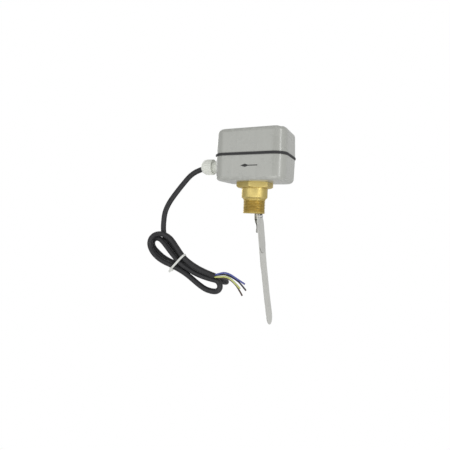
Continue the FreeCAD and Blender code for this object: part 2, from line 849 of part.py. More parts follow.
def range_screw():
    top = rear_wall_top + knob_height
    shank = rod(range_screw_radius, V(range_x, 0, range_screw_bottom), V(range_x, 0, rear_wall_top + clearance))
    knob = rod(knob_radius, V(range_x, 0, rear_wall_top + clearance), V(range_x, 0, top))
    knob = knob.makeChamfer(0.6, edges_at(knob, top))
    slot = box(range_x - 8, range_x + 8, -slot_width / 2, slot_width / 2, top - slot_depth, top + 1)
    return shank.fuse(knob.cut(slot)).removeSplitter()


def range_clip():
    top = rear_wall_top - shelf_thickness - clearance
    ring = rod(knob_radius - 1, V(range_x, 0, top - clip_thickness), V(range_x, 0, top))
    return ring.cut(rod(range_screw_radius, V(range_x, 0, top - 3), V(range_x, 0, top + 1)))


def range_nut():
    low = nut_top_z - range_nut_height
    block = box(range_x - range_nut_half, range_x + range_nut_half, -range_nut_half,
                ear_gap - clearance, low, nut_top_z)
    return block.cut(rod(range_screw_radius + running, V(range_x, 0, low - 1), V(range_x, 0, nut_top_z + 1)))


def range_spring():
    """Compression spring round the screw, between the tail and the nut, with closed end rings."""
    low = tail_top
    high = nut_top_z - range_nut_height
    turns_height = high - low - 4 * spring_wire
    helix = Part.makeHelix(turns_height / spring_turns, turns_height, spring_radius)
    helix.translate(V(range_x, 0, low + 2 * spring_wire))
    start = V(range_x + spring_radius, 0, low + 2 * spring_wire)
    points = []
    for i in range(7):
        a = math.radians(60 * i)
        points.append(start + V(math.cos(a), 0, math.sin(a)) * spring_wire)
    wire = Part.Wire(helix.Edges).makePipeShell([Part.makePolygon(points)], True, True)
    rings = []
    for foot in (low, high - 2 * spring_wire):
        outer = rod(spring_radius + spring_wire, V(range_x, 0, foot), V(range_x, 0, foot + 2 * spring_wire))
        bore = rod(spring_radius - spring_wire, V(range_x, 0, foot - 1), V(range_x, 0, foot + 3))
        rings.append(outer.cut(bore))
    return wire.fuse(rings).removeSplitter()


# Switch


def switch_screw_places():
    middle = switch_bottom_z + switch_height / 2
    x = switch_face_x + switch_hole_x
    return [V(x, 0, middle - switch_hole_spacing / 2), V(x, 0, middle + switch_hole_spacing / 2)]


def switch_body():
    half = switch_thickness / 2
    top_z = switch_bottom_z + switch_height
    body = box(switch_face_x, switch_face_x + switch_depth, -half, half, switch_bottom_z, top_z)
    body = body.makeFillet(1.0, [e for e in body.Edges if e.BoundBox.YLength > switch_thickness - 0.1])
    lugs = []
    for side in (-1, 1):
        y0 = side * lug_gap
        y1 = side * (lug_gap + lug_thickness)
        lugs.append(box(leaf_hinge_x - 1.2, switch_face_x + 1, min(y0, y1), max(y0, y1),
                        leaf_hinge_z - 1.3, leaf_hinge_z + 1.3))
    pin = rod(leaf_pin, V(leaf_hinge_x, -lug_gap - 0.5, leaf_hinge_z), V(leaf_hinge_x, lug_gap + 0.5, leaf_hinge_z))
    piece = body.fuse(lugs + [pin]).removeSplitter()
    recess = rod(button_radius + running, V(switch_face_x - 1, 0, button_z),
                 V(switch_face_x + button_socket, 0, button_z))
    piece = piece.cut(recess)
    for place in switch_screw_places():
        piece = piece.cut(rod(switch_hole_radius, V(place.x, -20, place.z), V(place.x, 20, place.z)))
    return piece


def switch_button():
    body = rod(button_radius, V(button_rest_x, 0, button_z), V(switch_face_x + button_socket - 2, 0, button_z))
    tip = [e for e in body.Edges if e.BoundBox.XMax < button_rest_x + 0.1]
    return body.makeFillet(0.5, tip)


def switch_leaf():
    """Spring strip with a rolled end round its pin, leaning towards the striker."""
    roll = rod(leaf_roll, V(leaf_hinge_x, -leaf_width / 2, leaf_hinge_z), V(leaf_hinge_x, leaf_width / 2, leaf_hinge_z))
    t = leaf_thickness / 2
    strip = box(leaf_hinge_x - t, leaf_hinge_x + t, -leaf_width / 2, leaf_width / 2,
                leaf_hinge_z, leaf_hinge_z + leaf_length)
    piece = roll.fuse(strip).removeSplitter()
    piece = piece.cut(rod(leaf_pin + running, V(leaf_hinge_x, -10, leaf_hinge_z), V(leaf_hinge_x, 10, leaf_hinge_z)))
    piece.rotate(V(leaf_hinge_x, 0, leaf_hinge_z), Y_AXIS, -math.degrees(leaf_lean))
    return piece


def switch_screws():
    screws = []
    for place in switch_screw_places():
        front = -switch_thickness / 2
        back = ear_gap + sheet_wall
        shank = rod(switch_hole_radius - running, V(place.x, front, place.z), V(place.x, back + 3, place.z))
        head = rod(2.8, V(place.x, front - 2, place.z), V(place.x, front, place.z))
        slot = box(place.x - 4, place.x + 4, front - 3, front - 1.2, place.z - 0.4, place.z + 0.4)
        nut = hexagon(nut_flats, nut_height, V(place.x, back, place.z), Y_AXIS)
        screws.append(shank.fuse([head.cut(slot), nut]).removeSplitter())
    return Part.makeCompound(screws)


def switch_tabs():
    back = switch_face_x + switch_depth
    tabs = []
    for place in tab_places:
        z = switch_bottom_z + place
        tab = box(back, back + tab_length, -tab_width / 2, tab_width / 2, z - tab_thickness / 2, z + tab_thickness / 2)
        tabs.append(tab.cut(rod(0.8, V(back + tab_length - 2, 0, z - 2), V(back + tab_length - 2, 0, z + 2))))
    return Part.makeCompound(tabs)


# Terminals


def pole_x(i):
    pitch = block_length / poles
    return block_x0 + pitch * (i + 0.5)


def terminal_block():
    top = floor_z + block_height
    back = block_front_y + block_depth
    body = box(block_x0, block_x0 + block_length, block_front_y, back, floor_z, top)
    pitch = block_length / poles
    for i in range(poles):
        x = pole_x(i)
        half = (pitch - barrier) / 2
        body = body.cut(box(x - half, x + half, block_front_y - 1, back + 1, top - barrier_drop, top + 1))
    return body


def terminal_screws():
    y = block_front_y + block_depth / 2
    half_x = terminal_plate_length / 2
    half_y = block_depth / 2 - terminal_plate_inset
    half_slot = terminal_slot_width / 2
    top = terminal_plate_top + terminal_screw_height
    screws = []
    for i in range(poles):
        x = pole_x(i)
        plate = box(x - half_x, x + half_x, y - half_y, y + half_y, terminal_seat_z, terminal_plate_top)
        head = rod(terminal_screw_radius, V(x, y, terminal_plate_top), V(x, y, top))
        slot = box(x - half_x, x + half_x, y - half_slot, y + half_slot, top - terminal_slot_depth, top + 1)
        screws.append(plate.fuse(head.cut(slot)).removeSplitter())
    return Part.makeCompound(screws)


def earth_screw():
    seat = floor_z + earth_boss_height
    shank = rod(body_screw_radius, V(earth_x, earth_y, seat - 5), V(earth_x, earth_y, seat))
    top = seat + earth_head_height
    head = rod(earth_head_radius, V(earth_x, earth_y, seat), V(earth_x, earth_y, top))
    slot = box(earth_x - 5, earth_x + 5, earth_y - 0.5, earth_y + 0.5, top - 1, top + 1)
    return shank.fuse(head.cut(slot)).removeSplitter()


# Cable gland


def gland_body():
    inner_end = gland_inner_x
    outer_end = (nut_start_x + nut_end_x) / 2
    thread = rod(gland_thread_radius, V(outer_end, 0, gland_z), V(inner_end, 0, gland_z))
    collar = hexagon(gland_hex_flats, gland_hex_length, V(hex_end_x, 0, gland_z), X_AXIS, 30)
    piece = thread.fuse(collar).removeSplitter()
    return piece.cut(rod(gland_bore, V(outer_end - 1, 0, gland_z), V(inner_end + 1, 0, gland_z)))


def gland_gasket():
    ring = rod(gland_gasket_radius, V(hex_start_x, 0, gland_z), V(wall_x, 0, gland_z))
    return ring.cut(rod(gland_thread_radius, V(hex_start_x - 1, 0, gland_z), V(wall_x + 1, 0, gland_z)))


def gland_nut():
    """Dome nut: a ribbed barrel that closes to a rounded mouth round the cable."""
    length = nut_start_x - nut_end_x
    r = dome_radius
    profile = [(gland_thread_radius, 0), (r - 0.6, 0), (r, 0.6), (r, length * 0.62), (r - 0.9, length * 0.76),
               (r - 2.6, length * 0.9), (r - 4.4, length * 0.98), (dome_mouth + 0.6, length), (dome_mouth, length - 0.6),
               (dome_mouth, length * 0.8), (gland_thread_radius, length * 0.66)]
    piece = revolve(profile, V(nut_start_x, 0, gland_z), V(-1, 0, 0))
    flutes = []
    for i in range(dome_rib_count):
        a = 2 * math.pi * i / dome_rib_count
        y = (r + 0.9) * math.cos(a)
        z = gland_z + (r + 0.9) * math.sin(a)
        flutes.append(rod(0.9 + dome_rib_depth, V(nut_start_x - 1.6, y, z), V(nut_start_x - length * 0.6, y, z)))
    return piece.cut(Part.makeCompound(flutes))


def gland_seal():
    """Rubber insert squeezed round the cable inside the nut."""
    length = nut_start_x - nut_end_x
    front = nut_start_x - length * 0.65
    back = (nut_start_x + nut_end_x) / 2
    plug = rod(gland_thread_radius - 1.4, V(front, 0, gland_z), V(back, 0, gland_z))
    sleeve = rod(gland_bore - clearance, V(back, 0, gland_z), V(front + seal_length, 0, gland_z))
    piece = plug.fuse(sleeve).removeSplitter()
    return piece.cut(rod(cable_radius + clearance, V(front - 1, 0, gland_z), V(front + seal_length + 1, 0, gland_z)))


def gland_locknut():
    start = locknut_x
    nut = hexagon(locknut_flats, locknut_length, V(start, 0, gland_z), X_AXIS, 30)
    return nut.cut(rod(gland_thread_radius, V(start - 1, 0, gland_z), V(start + locknut_length + 1, 0, gland_z)))


# Cable


def cable_route():
    return [V(-54, 0, gland_z), V(-100, 0, gland_z), V(-127, -11, 14), V(-142, -26, -18), V(-144.5, -28, -49.5)]


def supply_cable():
    return tube("supply_cable", cable_route(), cable_radius)


def inner_sheath():
    """Last of the jacket inside the housing, where the cores fan out."""
    start = cable_route()[0].x
    return rod(cable_radius, V(start, 0, gland_z), V(sheath_inner_x, 0, gland_z))


def cable_hank():
    """Outer shape of the tied hank: a loop at each end of a waist, open where the turns part."""
    y = hank_y + hank_depth / 2
    end = sheath_end_x
    rim = [(-132, -50.5), (-118, -69), waist_high, (-72, -105.5), (-54, -110.5), (end - 1.5, -112),
           (end, -113), (end, -119.5), (end + 1.5, -120.5), (-31, -120.8), (-28.5, -123), (-28.5, -130),
           (-31.5, -133.5), (-40, -145), (-66, -142), (-88, -125), waist_low, (-150, -107),
           (-168, -92), (-171, -70), (-160, -50.5)]
    upper_hole = [(-161, -77), (-147, -69), (-124, -97)]
    lower_hole = [(-81, -121), (-46, -126.5), (-45, -136), (-62, -134)]
    face = Part.Face(closed_outline([V(x, y, z) for x, z in rim]))
    piece = face.extrude(V(0, -hank_depth, 0))
    for hole in (upper_hole, lower_hole):
        cut = Part.Face(closed_outline([V(x, y + 1, z) for x, z in hole]))
        piece = piece.cut(cut.extrude(V(0, -hank_depth - 2, 0)))
    return piece.fuse(hank_rear(y)).removeSplitter()


def hank_rear(y):
    """Turn that folds back behind the others at the lower end, drawn as a wedge that thins to the waist."""
    outline = [(-29, -121.5), (-29, -132.5), (-40, -135), (-70, -128.5), (-93, -118), hank_rear_start,
               (-72, -111.5), (-45, -120)]
    back = y + hank_rear_depth
    block = Part.Face(closed_outline([V(x, back, z) for x, z in outline])).extrude(V(0, -hank_rear_depth, 0))
    start_x = hank_rear_start[0]
    past_x = start_x - hank_rear_depth
    past_y = back + cable_radius
    low = block.BoundBox.ZMin - cable_radius
    height = block.BoundBox.ZLength + 2 * cable_radius
    slope = [V(start_x, y, low), V(hank_rear_full_x, back, low), V(hank_rear_full_x, past_y, low),
             V(past_x, past_y, low), V(past_x, y, low), V(start_x, y, low)]
    return block.cut(Part.Face(Part.makePolygon(slope)).extrude(V(0, 0, height)))


def cable_tie():
    """Narrow band round the waist of the hank, with its head and tail at the lower end."""
    high = V(waist_high[0], hank_y, waist_high[1])
    low = V(waist_low[0], hank_y, waist_low[1])
    middle = (high + low) * 0.5
    across = high - low
    half = across.Length / 2 + waist_bulge + clearance
    across.normalize()
    deep = hank_depth / 2 + clearance
    inner = box(-half, half, -deep, deep, -tie_width, tie_width)
    t = tie_thickness
    outer = box(-half - t, half + t, -deep - t, deep + t, -tie_width / 2, tie_width / 2)
    outer = outer.makeFillet(2.5, [e for e in outer.Edges if e.BoundBox.ZLength > tie_width - 0.1])
    head = box(-half - t - tie_head, -half - t + 0.5, -deep - t, -deep - t + tie_head,
               -tie_head / 2, tie_head / 2)
    tail = box(-half - t - tie_tail, -half - t, -deep - t + 2, -deep - t + 2 + t, -tie_width / 2, tie_width / 2)
    piece = outer.cut(inner).fuse([head, tail]).removeSplitter()
    turn = FreeCAD.Rotation(across, Y_AXIS, X_AXIS.cross(Y_AXIS), "XYZ")
    piece.Placement = FreeCAD.Placement(middle, turn)
    return piece


def core(name, route):
    return tube(name, [V(*p) for p in route], core_radius)


# Cores at the free end
core_routes = {
    "core_blue": [(-41.7, -36.4, -114.4), (-36.5, -36.4, -112.8), (-29.5, -36.7, -109.2), (-20, -36.7, -110.6),
                  (-10.5, -36.5, -115.2), (3.2, -36, -122.3)],
    "core_black": [(-41.7, -33.4, -114.6), (-36, -33.4, -114.2), (-29.9, -33.2, -112.6), (-21.3, -33.4, -113.9),
                   (-11.6, -33.6, -117.9), (-4.4, -33.6, -122.4), (4.3, -33.6, -131.6)],
    "core_green_yellow": [(-41.7, -36.4, -117.3), (-35, -36.5, -116.2), (-28.2, -36.8, -114.3),
                          (-20.3, -36.8, -116.1), (-11.9, -36.6, -121.8), (-3.6, -36.2, -129.6)],
    "core_brown": [(-41.7, -33.4, -117.6), (-36, -33.4, -118.1), (-30.1, -33.6, -117.3), (-22.1, -33.8, -118.2),
                   (-14.1, -33.8, -123), (-7.3, -33.6, -130.1), (-1, -33.4, -140)],
}


def inner_wires():
    """Three cores from the jacket's end to the terminal screws."""
    end_x = sheath_inner_x
    wire_z = terminal_plate_top + inner_wire_radius
    back = block_front_y + block_depth / 2 + terminal_screw_radius
    wires = []
    for i in range(3):
        start = V(end_x + inner_wire_radius, -2.2 + 1.1 * i, gland_z - 1.5 + 2.0 * i)
        x = pole_x(i)
        end = V(x, back + inner_wire_radius, wire_z)
        bend = V(x - 2, back + 7, wire_z + 4.5 + 2.2 * i)
        near = V(end_x + 6, -6 - i, start.z)
        wires.append(tube("inner wire", [start, near, bend, end], inner_wire_radius))
    return Part.makeCompound(wires)


def earth_wire():
    end_x = sheath_inner_x
    end = V(earth_x, earth_y - earth_head_radius - inner_wire_radius, floor_z + earth_boss_height + inner_wire_radius)
    start = V(end_x + inner_wire_radius, 2.6, gland_z)
    route = [start, V(end_x + 4, 5, gland_z - 3), V(earth_x + 1, end.y - 2, end.z + 5), end]
    return tube("earth wire", route, inner_wire_radius)


def build():
    half = tang_thickness / 2
    long_x = half
    longest_x = long_x + sheet_thickness
    medium_x = longest_x + sheet_thickness
    clamp_x = medium_x + sheet_thickness
    washer_x = clamp_x + clamp_thickness
    screw_x = washer_x + washer_thickness
    short_x = -half - sheet_thickness
    nodes = {
        "lower_housing": lower_housing(),
        "upper_cover": upper_cover(),
        "housing_gasket": housing_gasket(),
        "cover_screws": cover_screws(),
        "brass_body": brass_body(),
        "body_seal": body_seal(),
        "body_screws": body_screws(),
        "mounting_bracket": mounting_bracket(),
        "bellows": bellows(),
        "bellows_cap": bellows_cap(),
        "bellows_collar": bellows_collar(),
        "fulcrum_pin": fulcrum_pin(),
        "fulcrum_clips": fulcrum_clips(),
        "lever_rod": lever_rod(),
        "swing_lever": swing_lever(),
        "lever_screw": lever_screw(),
        "striker_screw": striker_screw(),
        "striker_nut": striker_nut(),
        "paddle_short": short_paddle_sheet(short_x),
        "paddle_medium": flat_paddle(medium_paddle, medium_x),
        "paddle_long": flat_paddle(long_paddle, long_x),
        "paddle_longest": longest_paddle_sheet(longest_x),
        "clamp_plate": clamp_plate(clamp_x),
        "paddle_washers": paddle_washers(washer_x),
        "paddle_screws": paddle_screws(screw_x, short_x - nut_height - 0.5),
        "paddle_nuts": paddle_nuts(short_x),
        "range_screw": range_screw(),
        "range_clip": range_clip(),
        "range_nut": range_nut(),
        "range_spring": range_spring(),
        "switch_body": switch_body(),
        "switch_button": switch_button(),
        "switch_leaf": switch_leaf(),
        "switch_screws": switch_screws(),
        "switch_tabs": switch_tabs(),
        "terminal_block": terminal_block(),
        "terminal_screws": terminal_screws(),
        "earth_screw": earth_screw(),
        "gland_body": gland_body(),
        "gland_gasket": gland_gasket(),
        "gland_seal": gland_seal(),
        "gland_nut": gland_nut(),
        "gland_locknut": gland_locknut(),
        "supply_cable": supply_cable(),
        "inner_sheath": inner_sheath(),
        "inner_wires": inner_wires(),
        "earth_wire": earth_wire(),
        "cable_hank": cable_hank(),
        "cable_tie": cable_tie(),
    }
    for name, route in core_routes.items():
        nodes[name] = core(name, route)
    return nodes


for node, shape in build().items():
    solids = shape.Solids
    bounds = shape.BoundBox
    print(node, len(solids), "valid" if shape.isValid() else "INVALID", "volume %.0f" % shape.Volume,
          "z %.1f to %.1f" % (bounds.ZMin, bounds.ZMax))
    Part.makeCompound(solids).exportStep("parts/" + node + ".step")
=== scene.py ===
import math

import bpy
import numpy as np
from bpy.props import FloatProperty, FloatVectorProperty, IntProperty, PointerProperty
from mathutils import Matrix


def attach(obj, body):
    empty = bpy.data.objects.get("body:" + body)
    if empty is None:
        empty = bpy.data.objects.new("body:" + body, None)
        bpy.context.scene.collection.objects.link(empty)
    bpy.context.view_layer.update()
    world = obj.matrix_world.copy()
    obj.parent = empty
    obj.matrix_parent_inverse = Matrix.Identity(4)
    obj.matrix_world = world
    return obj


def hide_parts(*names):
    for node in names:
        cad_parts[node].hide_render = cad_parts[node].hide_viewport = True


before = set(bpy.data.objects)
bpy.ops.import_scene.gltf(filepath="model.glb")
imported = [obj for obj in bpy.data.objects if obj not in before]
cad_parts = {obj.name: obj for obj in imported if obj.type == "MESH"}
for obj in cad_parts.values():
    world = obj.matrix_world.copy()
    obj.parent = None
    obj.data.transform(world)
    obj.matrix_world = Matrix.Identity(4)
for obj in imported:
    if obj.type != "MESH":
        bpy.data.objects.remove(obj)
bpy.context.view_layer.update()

bl_info = {
    "name": "Paddle flow switch",
    "version": (1, 0, 0),
    "blender": (4, 5, 0),
    "location": "View3D > Sidebar > Flow switch",
    "description": "Dresses a packed paddle flow switch: housing, pipe body, paddles, gland, cable and studio",
    "category": "Object",
}

MM = 0.001
ROOT = "housing"

# Sizes that the solids hold, in millimetres
THREAD_RADIUS = 16.6
THREAD_LENGTH = 21.6
ROUND_RADIUS = 19.5
ROUND_TOP = 16.5
HEX_TOP = 25.0
HEX_FLATS = 48.5
NECK_TOP = 28.5
GLAND_Z = 49.6
COLLAR_START = -55.136
COLLAR_END = -62.736
NUT_START = -69.736
NUT_END = -89.636
GLAND_INNER_END = -42.336
GLAND_FLATS = 22.0
JOINT_BOTTOM = 60.6
JOINT_TOP = 64.0
BASE_FRONT = -39.6
BASE_DRAFT = 0.024
SHEET_WIDTH = 27.0
SHEET_TILT = 7.0
PIN_Z = 33.0

# How the new surfaces are drawn, in millimetres: points round a turned piece, how far it stays inside its
# solid, and the gland's bore and threads
SIDES = 216
INSIDE = 0.02
GLAND_BORE = 6.22
GLAND_CREST = 9.28
GLAND_PITCH = 1.5
GLAND_GROOVE = 0.75


def grid_quads(rows, columns, wrap_rows=False, wrap_columns=True):
    """Quads (i, j), (i, j+1), (i+1, j+1), (i+1, j) between the points of a grid, closed where it wraps."""
    i = np.arange(rows if wrap_rows else rows - 1)
    j = np.arange(columns if wrap_columns else columns - 1)
    a, b = np.meshgrid(i, j, indexing="ij")
    a1 = (a + 1) % rows
    b1 = (b + 1) % columns
    quads = np.stack([a * columns + b, a * columns + b1, a1 * columns + b1, a1 * columns + b], -1)
    return quads.reshape(-1, 4)


def mesh_object(name, points, quads, sharp_deg=32.0):
    """Mesh from points in millimetres and quads, shaded smooth except past sharp_deg."""
    mesh = bpy.data.meshes.new(name)
    mesh.from_pydata((np.asarray(points).reshape(-1, 3) * MM).tolist(), [], np.asarray(quads).tolist())
    mesh.validate()
    mesh.shade_smooth()
    mesh.set_sharp_from_angle(angle=math.radians(sharp_deg))
    piece = bpy.data.objects.new(name, mesh)
    bpy.context.scene.collection.objects.link(piece)
    return piece


def turned(radii, heights, angles):
    """Points (r cos t, r sin t, h) round the Z axis; radii has a row for each height."""
    h = np.repeat(np.asarray(heights)[:, None], len(angles), 1)
    return np.stack([radii * np.cos(angles), radii * np.sin(angles), h], -1)


def full_turn(count):
    """Angles evenly spaced round a circle, without the last one that meets the first."""
    return np.linspace(0, 2 * math.pi, count, endpoint=False)


def unit(vector):
    """The vector divided by its length."""
    return vector / np.linalg.norm(vector)


def pose(right, up, back, spot):
    """Matrix that stands a lamp or camera at a spot with its three axes along these directions."""
    matrix = np.eye(4)
    matrix[:3] = np.column_stack([right, up, back, spot])
    return Matrix(matrix.tolist())


def hexagon_radius(angles, flats):
    """Hexagon with a face at angle 0: half the flats over the cosine of the angle from the nearest face."""
    a = np.mod(angles - math.radians(30), math.pi / 3) - math.pi / 6
    return flats / 2 / np.cos(a)


def thread_profile(height, angles, pitch, crest, depth, low, high):
    """Crest less depth times a rounded triangle of (height / pitch - angle / turn), faded out at both ends."""
    phase = np.mod(height[:, None] / pitch - angles[None, :] / (2 * math.pi), 1.0)
    valley = np.clip(1.25 * (1 - np.abs(2 * phase - 1)) - 0.12, 0, 1)
    fade = np.clip((height - low) / (0.6 * pitch), 0, 1) * np.clip((high - height) / (0.9 * pitch), 0, 1)
    return crest - depth * valley * fade[:, None]


def place_along_x(points, centre_z):
    """Turn points drawn round +Z so that their axis runs along +X at the gland's height."""
    x, y, z = points[..., 0], points[..., 1], points[..., 2]
    return np.stack([z, y, centre_z - x], -1)


def nurbs_cord(name, points_mm, diameter_mm, ring=6, steps=10):
    """Round cord on one smooth quadratic spline whose control points are the route's points."""
    curve = bpy.data.curves.new(name, "CURVE")
    curve.dimensions = "3D"
    spline = curve.splines.new("NURBS")
    spline.points.add(len(points_mm) - 1)
    flat = np.ones((len(points_mm), 4))
    flat[:, :3] = np.array(points_mm) * MM
    spline.points.foreach_set("co", flat.ravel())
    spline.order_u = 3
    spline.use_endpoint_u = True
    curve.resolution_u = steps
    curve.bevel_depth = diameter_mm / 2 * MM
    curve.bevel_resolution = ring
    curve.use_fill_caps = True
    piece = bpy.data.objects.new(name, curve)
    bpy.context.scene.collection.objects.link(piece)
    return piece


def add(tree, kind, feeds=None, **settings):
    """New node; feeds maps its inputs to values or to the sockets that drive them."""
    node = tree.nodes.new(kind)
    for key, value in settings.items():
        setattr(node, key, value)
    for key, value in (feeds or {}).items():
        if isinstance(value, bpy.types.NodeSocket):
            tree.links.new(value, node.inputs[key])
        else:
            node.inputs[key].default_value = value
    return node


def new_group(name, inputs, outputs):
    """Shader group with named inputs (name, default) and outputs (name, kind); a default tells its kind."""
    group = bpy.data.node_groups.new(name, "ShaderNodeTree")
    for label, default in inputs:
        kind = "Vector" if default is None else "Color" if isinstance(default, tuple) else "Float"
        socket = group.interface.new_socket(label, in_out="INPUT", socket_type="NodeSocket" + kind)
        if default is not None:
            socket.default_value = default
    for label, kind in outputs:
        group.interface.new_socket(label, in_out="OUTPUT", socket_type="NodeSocket" + kind)
    return group, add(group, "NodeGroupInput").outputs, add(group, "NodeGroupOutput").inputs


def ramp(tree, value, low, high, out_low=0.0, out_high=1.0):
    """Value mapped from low..high to out_low..out_high and held there."""
    return add(tree, "ShaderNodeMapRange", {0: value, 1: low, 2: high, 3: out_low, 4: out_high}).outputs[0]


def math_node(tree, operation, a, b=0.0):
    """Result of one operation on two values."""
    return add(tree, "ShaderNodeMath", {0: a, 1: b}, operation=operation).outputs[0]


def times(tree, a, b):
    """Product of two values."""
    return math_node(tree, "MULTIPLY", a, b)


def plus(tree, a, b):
    """Sum of two values."""
    return math_node(tree, "ADD", a, b)


def apart(tree, a, b):
    """Distance between two values."""
    return math_node(tree, "ABSOLUTE", math_node(tree, "SUBTRACT", a, b))


def long_side(tree, a, b):
    """Square root of the sum of two squares."""
    return math_node(tree, "POWER", plus(tree, times(tree, a, a), times(tree, b, b)), 0.5)


def blend(tree, share, a, b):
    """Colour that goes from a to b as share goes from 0 to 1."""
    return add(tree, "ShaderNodeMix", {0: share, 6: a, 7: b}, data_type="RGBA").outputs[2]


def noise(tree, coordinates, scale, detail, roughness=0.5, distortion=0.0):
    """Value of a noise texture."""
    return add(tree, "ShaderNodeTexNoise", {"Vector": coordinates, "Scale": scale, "Detail": detail,
                                            "Roughness": roughness, "Distortion": distortion}).outputs[0]


def split(tree, vector):
    """The three parts of a vector."""
    return add(tree, "ShaderNodeSeparateXYZ", {0: vector}).outputs


def mapped(tree, coordinates, scale, rotation=(0, 0, 0)):
    """Coordinates turned and then stretched along each axis."""
    return add(tree, "ShaderNodeMapping", {"Vector": coordinates, "Rotation": rotation,
                                           "Scale": scale}).outputs[0]


def surface_group():
    """Grain and mottling: fine noise for height, broad noise that shifts the colour and the roughness."""
    name = "Grain and mottling"
    if name in bpy.data.node_groups:
        return bpy.data.node_groups[name]
    group, given, out = new_group(name, [
        ("Coordinates", None), ("Grain scale", 900.0), ("Mottle scale", 40.0), ("Base", (0.5, 0.5, 0.5, 1)),
        ("Worn", (0.6, 0.6, 0.6, 1)), ("Mottling", 0.5), ("Roughness", 0.5), ("Spread", 0.1)],
        [("Color", "Color"), ("Roughness", "Float"), ("Height", "Float")])
    grain = noise(group, given["Coordinates"], given["Grain scale"], 3.0, 0.55)
    mottle = noise(group, given["Coordinates"], given["Mottle scale"], 5.0, 0.62)
    share = ramp(group, mottle, 0.36, 0.66)
    colour = blend(group, times(group, share, given["Mottling"]), given["Base"], given["Worn"])
    fine = ramp(group, grain, 0.3, 0.7, 0.94, 1.05)
    even = add(group, "ShaderNodeCombineXYZ", {0: fine, 1: fine, 2: fine}).outputs[0]
    toned = add(group, "ShaderNodeVectorMath", {0: colour, 1: even}, operation="MULTIPLY")
    shift = times(group, math_node(group, "SUBTRACT", share, 0.5), given["Spread"])
    group.links.new(toned.outputs[0], out["Color"])
    group.links.new(plus(group, given["Roughness"], shift), out["Roughness"])
    group.links.new(grain, out["Height"])
    return group


def scratch_group():
    """Scratches: noise stretched far along one axis, of which only the thin crests are kept."""
    name = "Fine scratches"
    if name in bpy.data.node_groups:
        return bpy.data.node_groups[name]
    group, given, out = new_group(name, [("Coordinates", None), ("Scale", 60.0), ("Keep", 0.62)],
                                  [("Mask", "Float")])
    crests = noise(group, given["Coordinates"], given["Scale"], 2.0, 0.5, 0.4)
    mask = ramp(group, crests, given["Keep"], plus(group, given["Keep"], 0.06))
    group.links.new(mask, out["Mask"])
    return group


def edge_rub_group():
    """Rub at a box's upper or lower rim: near the rim's height and out past the flat of the faces."""
    name = "Rim rub"
    if name in bpy.data.node_groups:
        return bpy.data.node_groups[name]
    group, given, out = new_group(name, [("Coordinates", None), ("Rim height", 0.1), ("Reach", 0.006)],
                                  [("Mask", "Float")])
    parts = split(group, given["Coordinates"])
    near = ramp(group, apart(group, parts[2], given["Rim height"]), 0.0, given["Reach"], 1.0, 0.0)
    side_x = ramp(group, math_node(group, "ABSOLUTE", parts[0]), 0.044, 0.051)
    side_y = ramp(group, math_node(group, "ABSOLUTE", parts[1]), 0.030, 0.037)
    side = math_node(group, "MAXIMUM", side_x, side_y)
    broken = ramp(group, noise(group, given["Coordinates"], 220.0, 4.0), 0.5, 0.62)
    group.links.new(times(group, times(group, near, side), broken), out["Mask"])
    return group


def sheet_rim_group():
    """Rim of a paddle: how near a point of the tilted sheet lies to its long sides or to its round tip."""
    name = "Sheet rim"
    if name in bpy.data.node_groups:
        return bpy.data.node_groups[name]
    group, given, out = new_group(name, [("Coordinates", None), ("Tip centre", -0.1), ("Rim", 0.0006)],
                                  [("Mask", "Float")])
    # The sheets hang tilted about the lever's pin
    pin = PIN_Z * MM
    half = SHEET_WIDTH / 2 * MM
    moved = add(group, "ShaderNodeVectorMath", {0: given["Coordinates"], 1: (0, 0, pin)}, operation="SUBTRACT")
    parts = split(group, mapped(group, moved.outputs[0], (1, 1, 1), (0, math.radians(SHEET_TILT), 0)))
    height = plus(group, parts[2], pin)
    below = math_node(group, "MINIMUM", math_node(group, "SUBTRACT", height, given["Tip centre"]), 0.0)
    reach = long_side(group, parts[1], below)
    mask = ramp(group, reach, math_node(group, "SUBTRACT", half, given["Rim"]), half)
    group.links.new(mask, out["Mask"])
    return group


def rgba(colour, scale=1.0):
    """Colour times a scale, held at 1, with an alpha of 1."""
    return tuple(min(c * scale, 1.0) for c in colour[:3]) + (1.0,)


def start_material(name):
    """Material with a Principled shader and Object coordinates, both returned with its tree."""
    material = bpy.data.materials.new(name)
    material.use_nodes = True
    tree = material.node_tree
    coordinates = add(tree, "ShaderNodeTexCoord").outputs["Object"]
    return material, tree, tree.nodes["Principled BSDF"], coordinates


def surface(tree, coordinates, colour, worn, roughness, spread, grain, mottle, mottling):
    """Outputs of the grain and mottling between a colour and the same colour times worn."""
    return add(tree, "ShaderNodeGroup", {
        "Coordinates": coordinates, "Grain scale": grain, "Mottle scale": mottle, "Base": rgba(colour),
        "Worn": rgba(colour, worn), "Mottling": mottling, "Roughness": roughness, "Spread": spread},
        node_tree=surface_group()).outputs


def scratches(tree, coordinates, scale, keep):
    """Mask of the fine scratches."""
    return add(tree, "ShaderNodeGroup", {"Coordinates": coordinates, "Scale": scale, "Keep": keep},
               node_tree=scratch_group()).outputs[0]


def connect(tree, shader, colour, roughness, height, strength, depth, metallic=0.0):
    """Lead a colour, a roughness and a bumped height into the shader."""
    raised = add(tree, "ShaderNodeBump", {"Strength": strength, "Distance": depth, "Height": height})
    for name, socket in (("Base Color", colour), ("Roughness", roughness), ("Normal", raised.outputs[0])):
        tree.links.new(socket, shader.inputs[name])
    shader.inputs["Metallic"].default_value = metallic


